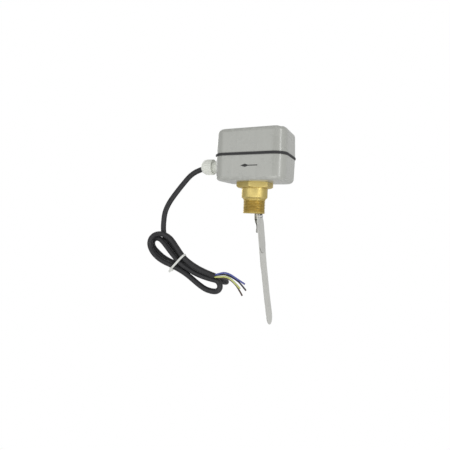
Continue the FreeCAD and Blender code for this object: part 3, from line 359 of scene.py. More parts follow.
def finish(name, colour, roughness, metallic=0.0, stretch=(1, 1, 1), grain=900.0, bump=0.15, mottle=45.0,
           mottling=0.5, worn=1.18, spread=0.12, coat=0.0):
    """Finish with grain, mottled colour and uneven roughness; stretch draws the grain out into lines."""
    material, tree, shader, coordinates = start_material(name)
    detail = surface(tree, mapped(tree, coordinates, stretch), colour, worn, roughness, spread, grain, mottle,
                     mottling)
    connect(tree, shader, detail["Color"], detail["Roughness"], detail["Height"], bump, 0.00006, metallic)
    for name, value in (("IOR", 1.5), ("Coat Weight", coat), ("Coat Roughness", 0.2)):
        shader.inputs[name].default_value = value
    return material


def dress(node, material):
    """Give a solid carried over from the frame its finish."""
    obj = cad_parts[node]
    obj.data.materials.clear()
    obj.data.materials.append(material)


def paint_material(name, colour, rim_height, joint_height):
    """Grey paint on die-cast metal: orange peel, mottling, vertical smears, a rubbed rim and a dark band at the
    joint, partly dirt and partly painted shade.
    """
    material, tree, shader, coordinates = start_material(name)
    detail = surface(tree, coordinates, colour, 1.09, 0.30, 0.10, 1500.0, 34.0, 0.75)
    smear = noise(tree, mapped(tree, coordinates, (1.0, 1.0, 0.16)), 130.0, 4.0)
    smeared = blend(tree, ramp(tree, smear, 0.52, 0.72, 0.0, 0.30), detail["Color"], rgba(colour, 0.86))
    lines = scratches(tree, mapped(tree, coordinates, (1.0, 1.0, 0.05), (0.4, 0.7, 0.3)), 420.0, 0.69)
    scuffed = blend(tree, times(tree, lines, 0.35), smeared, rgba(colour, 1.3))
    rub = add(tree, "ShaderNodeGroup", {"Coordinates": coordinates, "Rim height": rim_height, "Reach": 0.0055},
              node_tree=edge_rub_group()).outputs[0]
    rubbed = blend(tree, times(tree, rub, 0.45), scuffed, rgba(colour, 1.45))
    # Dirt and painted shade: the paint is darkened in a narrow band just above and below the gasket, partly
    # dirt at the paint's edge and partly painted shade of the gap between the halves
    gap = apart(tree, split(tree, coordinates)[2], joint_height)
    grime_and_painted_shade = blend(tree, ramp(tree, gap, 0.0002, 0.0012, 0.72, 0.0), rubbed, rgba(colour, 0.12))
    height = plus(tree, times(tree, noise(tree, coordinates, 520.0, 2.0), 1.4), detail["Height"])
    rough = plus(tree, detail["Roughness"], times(tree, rub, 0.15))
    connect(tree, shader, grime_and_painted_shade, rough, height, 0.22, 0.00009)
    shader.inputs["Coat Weight"].default_value = 0.35
    shader.inputs["Coat Roughness"].default_value = 0.16
    return material


def brass_material(name, colour, groove_colour):
    """Turned brass: rings of tool marks round Z, warm patches, and darker grooves in the thread."""
    material, tree, shader, coordinates = start_material(name)
    parts = split(tree, coordinates)
    across = long_side(tree, parts[0], parts[1])
    detail = surface(tree, coordinates, colour, 0.82, 0.46, 0.14, 1100.0, 95.0, 0.6)
    # Below the shoulder, down in the thread's grooves, and inside the bore
    low = ramp(tree, parts[2], -0.0005, 0.0008, 1.0, 0.0)
    deep = ramp(tree, across, 0.01535, 0.0164, 1.0, 0.0)
    inside = ramp(tree, across, 0.0141, 0.0146, 1.0, 0.0)
    tarnish = times(tree, low, plus(tree, times(tree, deep, 0.6), 0.4))
    stain = noise(tree, coordinates, 140.0, 5.0, 0.65)
    spots = times(tree, ramp(tree, stain, 0.5, 0.72, 0.0, 0.45), low)
    toned = blend(tree, times(tree, tarnish, 0.85), detail["Color"], rgba(groove_colour))
    browned = blend(tree, spots, toned, rgba(groove_colour, 0.62))
    final = blend(tree, times(tree, inside, 0.5), browned, rgba(groove_colour, 0.5))
    rings = add(tree, "ShaderNodeTexNoise", {"W": parts[2], "Scale": 5200.0, "Detail": 2.0},
                noise_dimensions="1D").outputs[0]
    height = plus(tree, times(tree, rings, 0.8), detail["Height"])
    rough = plus(tree, detail["Roughness"], times(tree, tarnish, 0.12))
    connect(tree, shader, final, rough, height, 0.25, 0.00005, 1.0)
    return material


def sheet_material(name, colour, length_mm):
    """Rolled sheet with fine lengthwise lines, water marks, handling scratches and painted shadow along its
    long sides and round tip.
    """
    material, tree, shader, coordinates = start_material(name)
    drawn = mapped(tree, coordinates, (1, 1, 0.04))
    detail = surface(tree, drawn, colour, 0.84, 0.36, 0.18, 1500.0, 60.0, 0.5)
    marks = noise(tree, coordinates, 85.0, 5.0, 0.6)
    marked = blend(tree, ramp(tree, marks, 0.52, 0.66, 0.0, 0.22), detail["Color"], rgba(colour, 0.72))
    tip_centre = (-THREAD_LENGTH - length_mm + SHEET_WIDTH / 2) * MM
    rim = add(tree, "ShaderNodeGroup", {"Coordinates": coordinates, "Rim": 0.0008, "Tip centre": tip_centre},
              node_tree=sheet_rim_group()).outputs[0]
    # Painted shadow: a narrow band along the sheet's long sides and round tip is darkened, in place of the
    # shade at the edges of the stacked sheets
    painted_rim_shadow = blend(tree, times(tree, rim, 0.75), marked, rgba(colour, 0.34))
    lines = scratches(tree, mapped(tree, coordinates, (1.0, 1.0, 0.03), (0.2, 0, 0)), 700.0, 0.66)
    rough = plus(tree, detail["Roughness"], times(tree, lines, 0.15))
    connect(tree, shader, painted_rim_shadow, rough, detail["Height"], 0.22, 0.00004, 1.0)
    return material


def striped_core_material(name, first, second):
    """Glossy insulation in two colours, split along the core by the angle round it."""
    material, tree, shader, coordinates = start_material(name)
    around = split(tree, add(tree, "ShaderNodeTexCoord").outputs["UV"])[1]
    stripe = ramp(tree, apart(tree, around, 0.5), 0.235, 0.265)
    detail = surface(tree, coordinates, first, 1.15, 0.34, 0.1, 1400.0, 160.0, 0.5)
    colour = blend(tree, stripe, detail["Color"], rgba(second))
    connect(tree, shader, colour, detail["Roughness"], detail["Height"], 0.1, 0.00003)
    return material


def jacket_material(name, colour):
    """Soft black cable jacket: extruded sheen, faint dust and small handling marks."""
    material, tree, shader, coordinates = start_material(name)
    detail = surface(tree, coordinates, colour, 1.9, 0.46, 0.16, 1300.0, 75.0, 0.8)
    dust = noise(tree, coordinates, 310.0, 6.0, 0.7)
    dusty = blend(tree, ramp(tree, dust, 0.56, 0.74, 0.0, 0.10), detail["Color"], (0.30, 0.29, 0.27, 1.0))
    rough = plus(tree, detail["Roughness"], times(tree, scratches(tree, coordinates, 520.0, 0.66), 0.14))
    connect(tree, shader, dusty, rough, detail["Height"], 0.16, 0.00008)
    shader.inputs["IOR"].default_value = 1.4
    return material


class HousingSettings(bpy.types.PropertyGroup):
    paint: FloatVectorProperty(name="Paint", description="Colour of the painted housing", subtype="COLOR",
                               size=3, min=0, max=1, default=(0.335, 0.341, 0.316))
    ink: FloatVectorProperty(name="Arrow ink", description="Colour filled into the flow arrow", subtype="COLOR",
                             size=3, min=0, max=1, default=(0.008, 0.008, 0.008))
    gasket: FloatVectorProperty(name="Gasket", description="Colour of the joint's rubber", subtype="COLOR",
                                size=3, min=0, max=1, default=(0.022, 0.022, 0.023))


class PipeBodySettings(bpy.types.PropertyGroup):
    brass: FloatVectorProperty(name="Brass", description="Colour of the turned brass", subtype="COLOR",
                               size=3, min=0, max=1, default=(0.66, 0.53, 0.20))
    groove: FloatVectorProperty(name="Tarnish", description="Colour of the thread's brass", subtype="COLOR",
                                size=3, min=0, max=1, default=(0.47, 0.335, 0.085))
    pitch: FloatProperty(name="Thread pitch", description="Rise of the pipe thread in one turn",
                         subtype="DISTANCE", unit="LENGTH", default=0.002309)
    depth: FloatProperty(name="Thread depth", description="Depth of the pipe thread's grooves",
                         subtype="DISTANCE", unit="LENGTH", default=0.0011)


class PaddleSettings(bpy.types.PropertyGroup):
    sheet: FloatVectorProperty(name="Sheet", description="Colour of the paddle sheets", subtype="COLOR",
                               size=3, min=0, max=1, default=(0.86, 0.86, 0.815))
    screws: FloatVectorProperty(name="Screws", description="Colour of the plated screws", subtype="COLOR",
                                size=3, min=0, max=1, default=(0.60, 0.60, 0.61))


class GlandSettings(bpy.types.PropertyGroup):
    nylon: FloatVectorProperty(name="Nylon", description="Colour of the gland", subtype="COLOR",
                               size=3, min=0, max=1, default=(0.74, 0.755, 0.695))
    ribs: IntProperty(name="Ribs", description="Grip ribs round the dome nut", min=6, max=40, default=18)


class CableSettings(bpy.types.PropertyGroup):
    jacket: FloatVectorProperty(name="Jacket", description="Colour of the cable's jacket", subtype="COLOR",
                                size=3, min=0, max=1, default=(0.013, 0.013, 0.0145))
    diameter: FloatProperty(name="Cable diameter", description="Outer diameter of the jacket",
                            subtype="DISTANCE", unit="LENGTH", default=0.0085)
    core: FloatProperty(name="Core diameter", description="Outer diameter of each core",
                        subtype="DISTANCE", unit="LENGTH", default=0.0025)
    tie_width: FloatProperty(name="Tie width", description="Width of the cable tie's band",
                             subtype="DISTANCE", unit="LENGTH", default=0.0034)


class StageSettings(bpy.types.PropertyGroup):
    floor: FloatProperty(name="Floor height", description="Height of the floor below the part",
                         subtype="DISTANCE", unit="LENGTH", default=-0.52)
    room: FloatProperty(name="Room light", description="Strength of the even light of the room",
                        min=0, max=2, default=0.62)


def settings(name):
    """The scene's sizes and colours for one group of pieces."""
    return getattr(bpy.context.scene, name)


def place(piece, material):
    """Give a new piece its finish, and let it ride on the housing."""
    piece.data.materials.append(material)
    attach(piece, ROOT)
    return piece


class FLOWSWITCH_OT_housing(bpy.types.Operator):
    """Paint the two halves of the housing, ink the flow arrow, and finish the gasket and cover screws"""
    bl_idname = "flowswitch.housing"
    bl_label = "Housing"

    def execute(self, context):
        values = settings("flow_housing")
        dress("lower_housing", paint_material("Grey paint below", values.paint, 0.0270, JOINT_BOTTOM * MM))
        dress("upper_cover", paint_material("Grey paint above", values.paint, 0.0980, JOINT_TOP * MM))
        dress("housing_gasket", finish("Joint rubber", values.gasket, 0.8, grain=1600, bump=0.2, mottling=0.6,
                                       worn=1.5))
        dress("cover_screws", finish("Plated screws", settings("flow_paddles").screws, 0.3, 1.0, grain=1800,
                                     bump=0.1, worn=0.8))
        self.arrow(values.ink)
        return {"FINISHED"}

    def arrow(self, ink):
        """Half width w(x) rises from the tip to the barbs, falls to the shaft; y follows the draft."""
        arrow_z = 45.6
        depth = 0.10
        x = np.array([-9.1, -6.0, -2.15, 0.2, 2.35, 9.0, 16.3])
        w = np.array([0.02, 1.01, 2.24, 1.40, 0.62, 0.62, 0.62])
        across = np.linspace(-1, 1, 7)
        z = arrow_z + w[:, None] * across
        y = BASE_FRONT + BASE_DRAFT * (JOINT_BOTTOM - z) + depth
        points = np.stack([np.repeat(x[:, None], len(across), 1), y, z], -1)
        quads = grid_quads(len(x), len(across), False, False)
        piece = mesh_object("arrow_ink", points, quads[:, ::-1])
        solid = piece.modifiers.new("Thickness", "SOLIDIFY")
        solid.thickness = 0.00036
        solid.offset = -1
        place(piece, finish("Arrow ink", ink, 0.5, grain=1500, bump=0.25, mottle=300, mottling=0.7, worn=2.6))


class FLOWSWITCH_OT_pipe_body(bpy.types.Operator):
    """Make the brass body with its thread, round shoulder and chamfered hexagon"""
    bl_idname = "flowswitch.pipe_body"
    bl_label = "Pipe body"

    def execute(self, context):
        values = settings("flow_pipe_body")
        piece = self.body(values.pitch / MM, values.depth / MM)
        place(piece, brass_material("Turned brass", values.brass, values.groove))
        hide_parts("brass_body")
        return {"FINISHED"}

    def body(self, pitch, depth):
        """Closed ring of radii r(z, t): bore, thread, shoulder, hexagon cut by two cones, and neck."""
        angles = full_turn(SIDES)
        ones = np.ones(SIDES)
        crest = THREAD_RADIUS - INSIDE
        z = np.linspace(-THREAD_LENGTH + 1.2, -INSIDE, 112)
        thread = thread_profile(z, angles, pitch, crest, depth, -THREAD_LENGTH + 1.3, -0.6)
        lead = np.array([(14.02, 13.9), (14.02, -THREAD_LENGTH + 0.5), (14.5, -THREAD_LENGTH),
                         (crest - 1.25, -THREAD_LENGTH), (crest - 1.2, -THREAD_LENGTH + 0.02)])
        rise = np.array([(ROUND_RADIUS - 2.6, 0.0), (ROUND_RADIUS - 2.45, 0.02), (ROUND_RADIUS - 0.1, 2.4),
                         (ROUND_RADIUS, 2.75), (ROUND_RADIUS, ROUND_TOP - 0.35),
                         (ROUND_RADIUS - 0.25, ROUND_TOP - 0.1)])
        flats = hexagon_radius(angles, HEX_FLATS) - INSIDE
        corner = HEX_FLATS / math.sqrt(3)
        hex_top = HEX_TOP - 0.01
        hex_z = np.array([16.5, 16.5, 16.62, 16.9, 17.3, 17.8, 18.4, 19.0, 21.0, 23.8, 24.6, 24.93, hex_top])
        lower_cone = corner - 3.2 + 3.7 * np.clip((hex_z - 16.55) / 1.95, 0, 1)
        lower_cone[0] = ROUND_RADIUS + 0.3
        upper_cone = np.where(hex_z > 24.5, corner - 1.2 + (hex_top - hex_z) * 2.6, 99.0)
        sides = np.minimum(np.minimum(flats, lower_cone[:, None]), upper_cone[:, None])
        close = np.array([(15.0, hex_top), (15.0, NECK_TOP - INSIDE), (9.55, NECK_TOP - INSIDE),
                          (9.55, 14.0)])
        radii = [lead[:, :1] * ones, thread, rise[:, :1] * ones, sides, close[:, :1] * ones]
        heights = np.concatenate([lead[:, 1], z, rise[:, 1], hex_z, close[:, 1]])
        points = turned(np.concatenate(radii), heights, angles)
        return mesh_object("pipe_body", points, grid_quads(len(heights), SIDES, True), 28)


class FLOWSWITCH_OT_paddles(bpy.types.Operator):
    """Finish the paddle sheets, their clamp and the lever that carries them"""
    bl_idname = "flowswitch.paddles"
    bl_label = "Paddles"

    def execute(self, context):
        values = settings("flow_paddles")
        # Painted shade in the tone of each sheet: the clamp and the shorter sheets at the top are darker, and
        # the longest, which reaches down into more light, is lighter; and how far its round tip lies below the
        # thread; the clamp has no such tip
        sheets = {"paddle_short": (0.88, 29), "paddle_medium": (0.90, 60), "paddle_long": (0.93, 90),
                  "paddle_longest": (1.04, 166), "clamp_plate": (0.86, 400)}
        for node, (painted_shade_tone, length) in sheets.items():
            dress(node, sheet_material("Satin " + node, rgba(values.sheet, painted_shade_tone), length))
        plated = finish("Plated fixings", values.screws, 0.28, 1.0, grain=1900, bump=0.1, worn=0.82)
        for node in ("paddle_washers", "paddle_screws", "paddle_nuts", "body_screws", "fulcrum_pin",
                     "fulcrum_clips", "lever_screw", "range_clip", "switch_screws", "earth_screw"):
            dress(node, plated)
        dress("lever_rod", finish("Nickelled brass", (0.50, 0.48, 0.42), 0.34, 1.0, stretch=(1, 1, 6),
                                  worn=0.82))
        return {"FINISHED"}


class FLOWSWITCH_OT_mechanism(bpy.types.Operator):
    """Finish the pieces inside the housing and the bore: bracket, bellows, switch, adjuster and terminals"""
    bl_idname = "flowswitch.mechanism"
    bl_label = "Mechanism"

    def execute(self, context):
        brass = finish("Small brass", (0.64, 0.51, 0.20), 0.32, 1.0, grain=1700, bump=0.12, worn=0.8)
        zinc = finish("Zinc plate", (0.56, 0.56, 0.53), 0.38, 1.0, grain=700, bump=0.12, mottle=120,
                      mottling=0.8, worn=0.78, spread=0.2)
        bronze = finish("Bronze", (0.58, 0.36, 0.16), 0.34, 1.0, grain=1500, bump=0.1, mottling=0.7, worn=0.75)
        spring = finish("Spring steel", (0.42, 0.42, 0.43), 0.26, 1.0, grain=2200, bump=0.08, worn=0.85)
        rubber = finish("Seal rubber", (0.03, 0.03, 0.03), 0.6, grain=1700, bump=0.25, worn=1.6)
        black = finish("Moulded case", (0.022, 0.022, 0.024), 0.42, grain=1500, bump=0.22, worn=1.5)
        red = finish("Moulded button", (0.42, 0.02, 0.015), 0.3, grain=1500, bump=0.08, worn=1.2, coat=0.2)
        finishes = {
            brass: ("striker_screw", "striker_nut", "range_screw", "switch_tabs", "terminal_screws"),
            zinc: ("mounting_bracket", "swing_lever", "range_nut"),
            bronze: ("bellows", "bellows_cap", "bellows_collar"),
            spring: ("range_spring", "switch_leaf"),
            rubber: ("body_seal", "gland_gasket", "gland_seal"),
            black: ("switch_body", "terminal_block"),
            red: ("switch_button",),
        }
        for material, nodes in finishes.items():
            for node in nodes:
                dress(node, material)
        return {"FINISHED"}


class FLOWSWITCH_OT_gland(bpy.types.Operator):
    """Make the nylon gland: a threaded body with a hexagon, and a ribbed dome nut"""
    bl_idname = "flowswitch.gland"
    bl_label = "Cable gland"

    def execute(self, context):
        values = settings("flow_gland")
        nylon = finish("Gland nylon", values.nylon, 0.42, grain=1400, bump=0.12, mottle=90, mottling=0.6,
                       worn=0.9, spread=0.1)
        angles = full_turn(SIDES)
        self.body(angles, nylon)
        self.nut(angles, values.ribs, nylon)
        dress("gland_locknut", nylon)
        return {"FINISHED"}

    def body(self, angles, nylon):
        """Bore, thread, hexagon with turned chamfers and the inner thread, in one closed ring."""
        ones = np.ones(SIDES)
        end = (NUT_START + NUT_END) / 2
        outer = np.linspace(end + 0.2, COLLAR_END - 0.05, 78)
        outer_r = thread_profile(outer, angles, GLAND_PITCH, GLAND_CREST, GLAND_GROOVE, end + 0.4,
                                 COLLAR_END - 0.6)
        collar = np.array([COLLAR_END, COLLAR_END + 0.02, COLLAR_END + 0.9, COLLAR_END + 1.6,
                           COLLAR_START - 1.2, COLLAR_START - 0.5, COLLAR_START - 0.01])
        cone = np.array([9.3, 11.0, 12.0, 12.9, 12.9, 12.2, 11.4])
        collar_r = np.minimum(hexagon_radius(angles, GLAND_FLATS) - INSIDE, cone[:, None])
        inner = np.linspace(COLLAR_START, GLAND_INNER_END - 0.2, 60)
        inner_r = thread_profile(inner, angles, GLAND_PITCH, GLAND_CREST, GLAND_GROOVE, COLLAR_START + 3.6,
                                 GLAND_INNER_END - 0.4)
        mouth = np.array([[GLAND_BORE], [8.6]]) * ones
        tail = np.array([[8.5], [GLAND_BORE]]) * ones
        heights = np.concatenate([[end, end], outer, collar, inner, [GLAND_INNER_END, GLAND_INNER_END]])
        radii = np.concatenate([mouth, outer_r, collar_r, inner_r, tail])
        points = place_along_x(turned(radii, heights, angles), GLAND_Z)
        piece = mesh_object("gland_thread", points, grid_quads(len(heights), SIDES, True), 30)
        place(piece, nylon)
        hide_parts("gland_body")

    def nut(self, angles, ribs, nylon):
        """Barrel R(s) that rounds in to the mouth; ribs cut R by a raised cosine, faded along s."""
        rib_depth = 0.62
        mouth_row = 23
        s = np.array([0, 0, 0.25, 0.7, 1.4, 1.9, 2.5, 4, 6, 8, 10, 11.2, 12.2, 13.2, 14.4, 15.6, 16.7, 17.7,
                      18.5, 19.2, 19.65, 19.88, 19.9, 19.6, 17.0, 13.2, 13.0, 6.0, 0.0])
        r = np.array([9.45, 11.4, 11.8, 12.05, 12.15, 12.15, 12.15, 12.17, 12.18, 12.18, 12.15, 12.1, 11.98,
                      11.75, 11.35, 10.8, 10.1, 9.3, 8.5, 7.6, 6.9, 6.3, 6.05, 5.9, 5.9, 5.95, 9.4, 9.4, 9.4])
        grip = np.clip((s - 1.5) / 0.8, 0, 1) * np.clip((12.6 - s) / 2.2, 0, 1)
        grip[mouth_row:] = 0
        wave = np.clip(0.5 - 0.75 * np.cos(ribs * angles), 0, 1) ** 0.8
        radii = r[:, None] - rib_depth * grip[:, None] * (1 - wave)
        points = place_along_x(turned(radii, NUT_START - s, angles), GLAND_Z)
        piece = mesh_object("gland_dome", points, grid_quads(len(s), SIDES, True)[:, ::-1], 38)
        place(piece, nylon)
        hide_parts("gland_nut")


# Route of the cable from the gland through the hank to the end of its jacket, in millimetres
LEAD = [(-64, 0, 49.6), (-100, 0, 49.6), (-127, -11, 14), (-142, -26, -18), (-145.4, -25.5, -46)]
FIRST_DOWN = [(-144.6, -24.5, -60.6), (-139, -23.8, -69), (-131, -23.8, -77.4), (-122.2, -23.8, -86.2),
              (-114.2, -24, -93.6), (-107.4, -24, -98.8), (-97.4, -24, -105.6), (-85.6, -24, -111.9),
              (-72.2, -23.6, -117.6), (-58.7, -23.6, -121.4)]
REAR_FOLD = [(-40.3, -24.2, -125.2), (-35.3, -19.4, -126.6), (-35.3, -12.4, -127.8), (-40.3, -7.6, -128.6)]
FIRST_BACK = [(-52, -7.8, -128.4), (-61, -9, -126.6), (-71.2, -11, -123.4), (-83.8, -14.6, -118.2),
              (-95.4, -18.6, -113.7), (-106.4, -22.6, -109.8), (-118, -24, -106.6)]
FIRST_LOOP = [(-127.6, -24, -104.2), (-136.6, -24, -101.4), (-146.2, -24, -97), (-155.7, -24, -90.6),
              (-162.6, -24, -85), (-166.8, -24, -78.6), (-165.6, -24.6, -71.8), (-159.6, -26.6, -67.8),
              (-151.6, -29.6, -66.8), (-144.6, -32, -68.4), (-139.4, -33, -72)]
SECOND_DOWN = [(-134.5, -33, -76.5), (-127, -33, -84.3), (-117.8, -33, -93.1), (-108.8, -33, -101.7),
               (-96, -32.2, -108.9), (-82.2, -31.2, -115.6), (-68, -30.6, -119.8), (-56, -30.4, -121.9),
               (-47.6, -31.2, -122.6)]
LOWER_FOLD = [(-41.5, -32.4, -123.2), (-36.5, -33.6, -128), (-36.6, -34, -134.6), (-41.8, -33.6, -139.2),
              (-50.6, -33, -140), (-60.4, -32.8, -138.4)]
SECOND_BACK = [(-69.8, -32.8, -134.1), (-79.2, -33, -128.4), (-89.8, -33, -121.6), (-100.3, -33, -116.2),
               (-108.6, -33, -112.8), (-116.8, -33, -109.8)]
SECOND_LOOP = [(-126.2, -33, -106.6), (-136, -33, -104), (-146.6, -33, -99.4), (-156, -33, -93),
               (-163, -33, -85), (-165.6, -33.4, -76.4), (-163.4, -33.6, -68), (-156.6, -33.6, -61.6),
               (-147.4, -33.6, -59), (-138, -33.6, -59.6), (-129.6, -33.6, -62.8), (-122.4, -33.4, -68.6)]
LAST_DOWN = [(-115.8, -33, -76.7), (-108.6, -33, -85.3), (-101.2, -33, -93.5), (-90, -34, -100.4),
             (-76.8, -35, -106.5), (-64.4, -35, -110.9), (-53.6, -35, -114), (-44, -35, -116.3)]
CABLE_ROUTE = (LEAD + FIRST_DOWN + REAR_FOLD + FIRST_BACK + FIRST_LOOP + SECOND_DOWN + LOWER_FOLD + SECOND_BACK
               + SECOND_LOOP + LAST_DOWN)

CORE_ROUTES = {
    "core_blue": [(-46, -36.3, -114.8), (-40.4, -36.5, -112.6), (-29.5, -36.8, -108.7), (-20.2, -36.8, -110.3),
                  (-10.5, -36.5, -115.2), (3.4, -36, -122.4)],
    "core_black": [(-46, -33.6, -115.2), (-39.5, -33.3, -114.2), (-29.9, -33.2, -112.1), (-21.3, -33.4, -113.9),
                   (-11.6, -33.6, -117.9), (-4.4, -33.6, -122.4), (4.5, -33.6, -131.8)],
    "core_green_yellow": [(-46, -36.4, -117.4), (-36.7, -36.6, -116.3), (-28.2, -36.8, -114.5),
                          (-20.3, -36.8, -116.1), (-11.9, -36.6, -121.8), (-3.6, -36.2, -129.6)],
    "core_brown": [(-46, -33.5, -117.8), (-38.1, -33.4, -118.4), (-30.1, -33.6, -117.2), (-22.1, -33.8, -118.2),
                   (-14.1, -33.8, -123), (-7.3, -33.6, -130.1), (-1, -33.4, -140.1)],
}

# The cable tie in millimetres: its middle, the way across the strands and, across and towards the front,
# the middle of each strand that it holds
TIE_MIDDLE = np.array([-110.25, -28.5, -101.75])
TIE_ACROSS = np.array([0.688, 0.0, 0.7257])
TIE_STRANDS = np.array([(4.2, -4.5), (-7.6, -4.9), (1.3, 4.5), (-10.1, 4.5), (12.6, 4.6)])


def route_length(points):
    """Length in metres of a curve with no bevel made from a copy of the route."""
    probe = nurbs_cord("probe", points, 0)
    probe.data.use_fill_caps = False
    mesh = bpy.data.meshes.new_from_object(probe)
    co = np.empty(len(mesh.vertices) * 3)
    mesh.vertices.foreach_get("co", co)
    steps = np.diff(co.reshape(-1, 3), axis=0)
    bpy.data.objects.remove(probe)
    bpy.data.meshes.remove(mesh)
    return float(np.linalg.norm(steps, axis=1).sum())


class FLOWSWITCH_OT_cable(bpy.types.Operator):
    """Make the cable with its tied hank, the four cores at its free end and the cable tie"""
    bl_idname = "flowswitch.cable"
    bl_label = "Cable"

    def execute(self, context):
        values = settings("flow_cable")
        jacket = jacket_material("Cable jacket", values.jacket)
        wide = values.diameter / MM
        cable = place(nurbs_cord("cable", CABLE_ROUTE, wide, 7, 8), jacket)
        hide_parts("supply_cable", "cable_hank")
        dress("inner_sheath", jacket)
        tie = self.tie(values.tie_width / MM)
        round(route_length(CABLE_ROUTE), 3)
        self.cores(values.core / MM)
        return {"FINISHED"}

    def cores(self, wide):
        """Each core follows its own spline out of the jacket's end, and shows a copper face at its tip."""
        blue = finish("Blue insulation", (0.06, 0.075, 0.27), 0.34, grain=1400, bump=0.1, worn=1.3)
        black = finish("Black insulation", (0.022, 0.022, 0.024), 0.36, grain=1400, bump=0.1, worn=1.5)
        brown = finish("Brown insulation", (0.055, 0.032, 0.024), 0.36, grain=1400, bump=0.1, worn=1.4)
        striped = striped_core_material("Striped insulation", (0.50, 0.53, 0.17), (0.20, 0.30, 0.07))
        copper = finish("Copper", (0.70, 0.34, 0.19), 0.35, 1.0, grain=2000, bump=0.1)
        looks = {"core_blue": (blue, "core_blue"), "core_black": (black, "core_black"),
                 "core_green_yellow": (striped, "core_green"), "core_brown": (brown, "core_brown")}
        for node, (material, slot) in looks.items():
            route = CORE_ROUTES[node]
            piece = place(nurbs_cord("lead_" + node, route, wide, 5, 10), material)
            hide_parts(node)
            round(route_length(route), 4)
            self.tip(node, route, copper)
        dress("inner_wires", brown)
        dress("earth_wire", striped)

    def tip(self, node, route, copper):
        """Low dome of copper, r = 0.72 cos u at height 0.22 sin u, on the end face of a core."""
        radius, rise, root = 0.72, 0.22, -0.4
        end = np.array(route[-1], float)
        axis = unit(end - np.array(route[-2], float))
        side = unit(np.cross(axis, (0, 1, 0)))
        other = np.cross(axis, side)
        u = np.linspace(0, 0.5 * math.pi * 0.98, 5)[1:]
        t = full_turn(16)
        r = np.concatenate([[0.001, radius], radius * np.cos(u)])
        h = np.concatenate([[root, root], rise * np.sin(u)])
        ring = np.cos(t)[:, None] * side + np.sin(t)[:, None] * other
        points = end + r[:, None, None] * ring[None] + h[:, None, None] * axis
        piece = mesh_object("tip_" + node, points, grid_quads(len(r), len(t))[:, ::-1], 40)
        place(piece, copper)

    def tie(self, width):
        """Taut outline of five strands: c + r n(t) for the strand whose middle c lies furthest along n(t)."""
        reach, thickness, rib, rib_count = 4.35, 1.1, 0.12, 48
        deep = np.array([0.0, -1.0, 0.0])
        along = np.cross(TIE_ACROSS, deep)
        axes = (TIE_ACROSS, deep, along)
        t = full_turn(144)
        facing = np.stack([np.cos(t), np.sin(t)], -1)
        furthest = TIE_STRANDS[np.argmax(TIE_STRANDS @ facing.T, axis=0)]
        section = np.array([(0, -1), (0, 1), (0.35, 1.0), (1.0, 0.86), (1.0, -0.86), (0.35, -1.0)])
        ribs = rib * (np.cos(t * rib_count) > 0)
        rise = reach + section[:, 0] * thickness + (section[:, 0] > 0.9) * ribs[:, None]
        plane = furthest[:, None, :] + rise[..., None] * facing[:, None, :]
        points = (TIE_MIDDLE + plane[..., :1] * TIE_ACROSS + plane[..., 1:] * deep
                  + (section[:, 1] * width / 2)[None, :, None] * along)
        head = self.block(TIE_MIDDLE - TIE_ACROSS * 16.2 + deep * 5.4, axes, (2.4, 2.6, 2.75))
        tail = self.block(TIE_MIDDLE - TIE_ACROSS * 20.6 + deep * 5.2 - along * 0.2, axes, (3.0, 0.55, 1.6))
        parts = [(points.reshape(-1, 3), grid_quads(len(t), len(section), True)), head, tail]
        starts = np.cumsum([0] + [len(part[0]) for part in parts])
        piece = mesh_object("tie_band", np.concatenate([part[0] for part in parts]),
                            np.concatenate([part[1] + start for part, start in zip(parts, starts)]), 30)
        bevel = piece.modifiers.new("Soft edges", "BEVEL")
        bevel.width = 0.0003
        bevel.segments = 2
        bevel.limit_method = "ANGLE"
        place(piece, finish("Tie nylon", (0.62, 0.63, 0.60), 0.36, grain=1400, bump=0.1, worn=0.9))
        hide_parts("cable_tie")
        return piece

    def block(self, centre, axes, half):
        """Box as a grid: rings of four corners at both ends, each closed by a point-sized ring."""
        corner = np.array([(1, 1), (-1, 1), (-1, -1), (1, -1)], float)
        scale = np.array([0.0, 1.0, 1.0, 0.0])
        level = np.array([-1.0, -1.0, 1.0, 1.0])
        points = (centre + scale[:, None, None] * corner[None, :, :1] * half[0] * axes[0]
                  + scale[:, None, None] * corner[None, :, 1:] * half[1] * axes[1]
                  + level[:, None, None] * half[2] * axes[2])
        return points.reshape(-1, 3), grid_quads(4, 4)


def white_for_camera(tree, seen, kind, output):
    """Let the camera see plain white in place of a shader, which all other rays still meet."""
    white = add(tree, kind, {"Color": (1, 1, 1, 1), "Strength": 1.0}).outputs[0]
    camera = add(tree, "ShaderNodeLightPath").outputs["Is Camera Ray"]
    mix = add(tree, "ShaderNodeMixShader", {0: camera, 1: seen, 2: white})
    tree.links.new(mix.outputs[0], tree.nodes[output].inputs["Surface"])


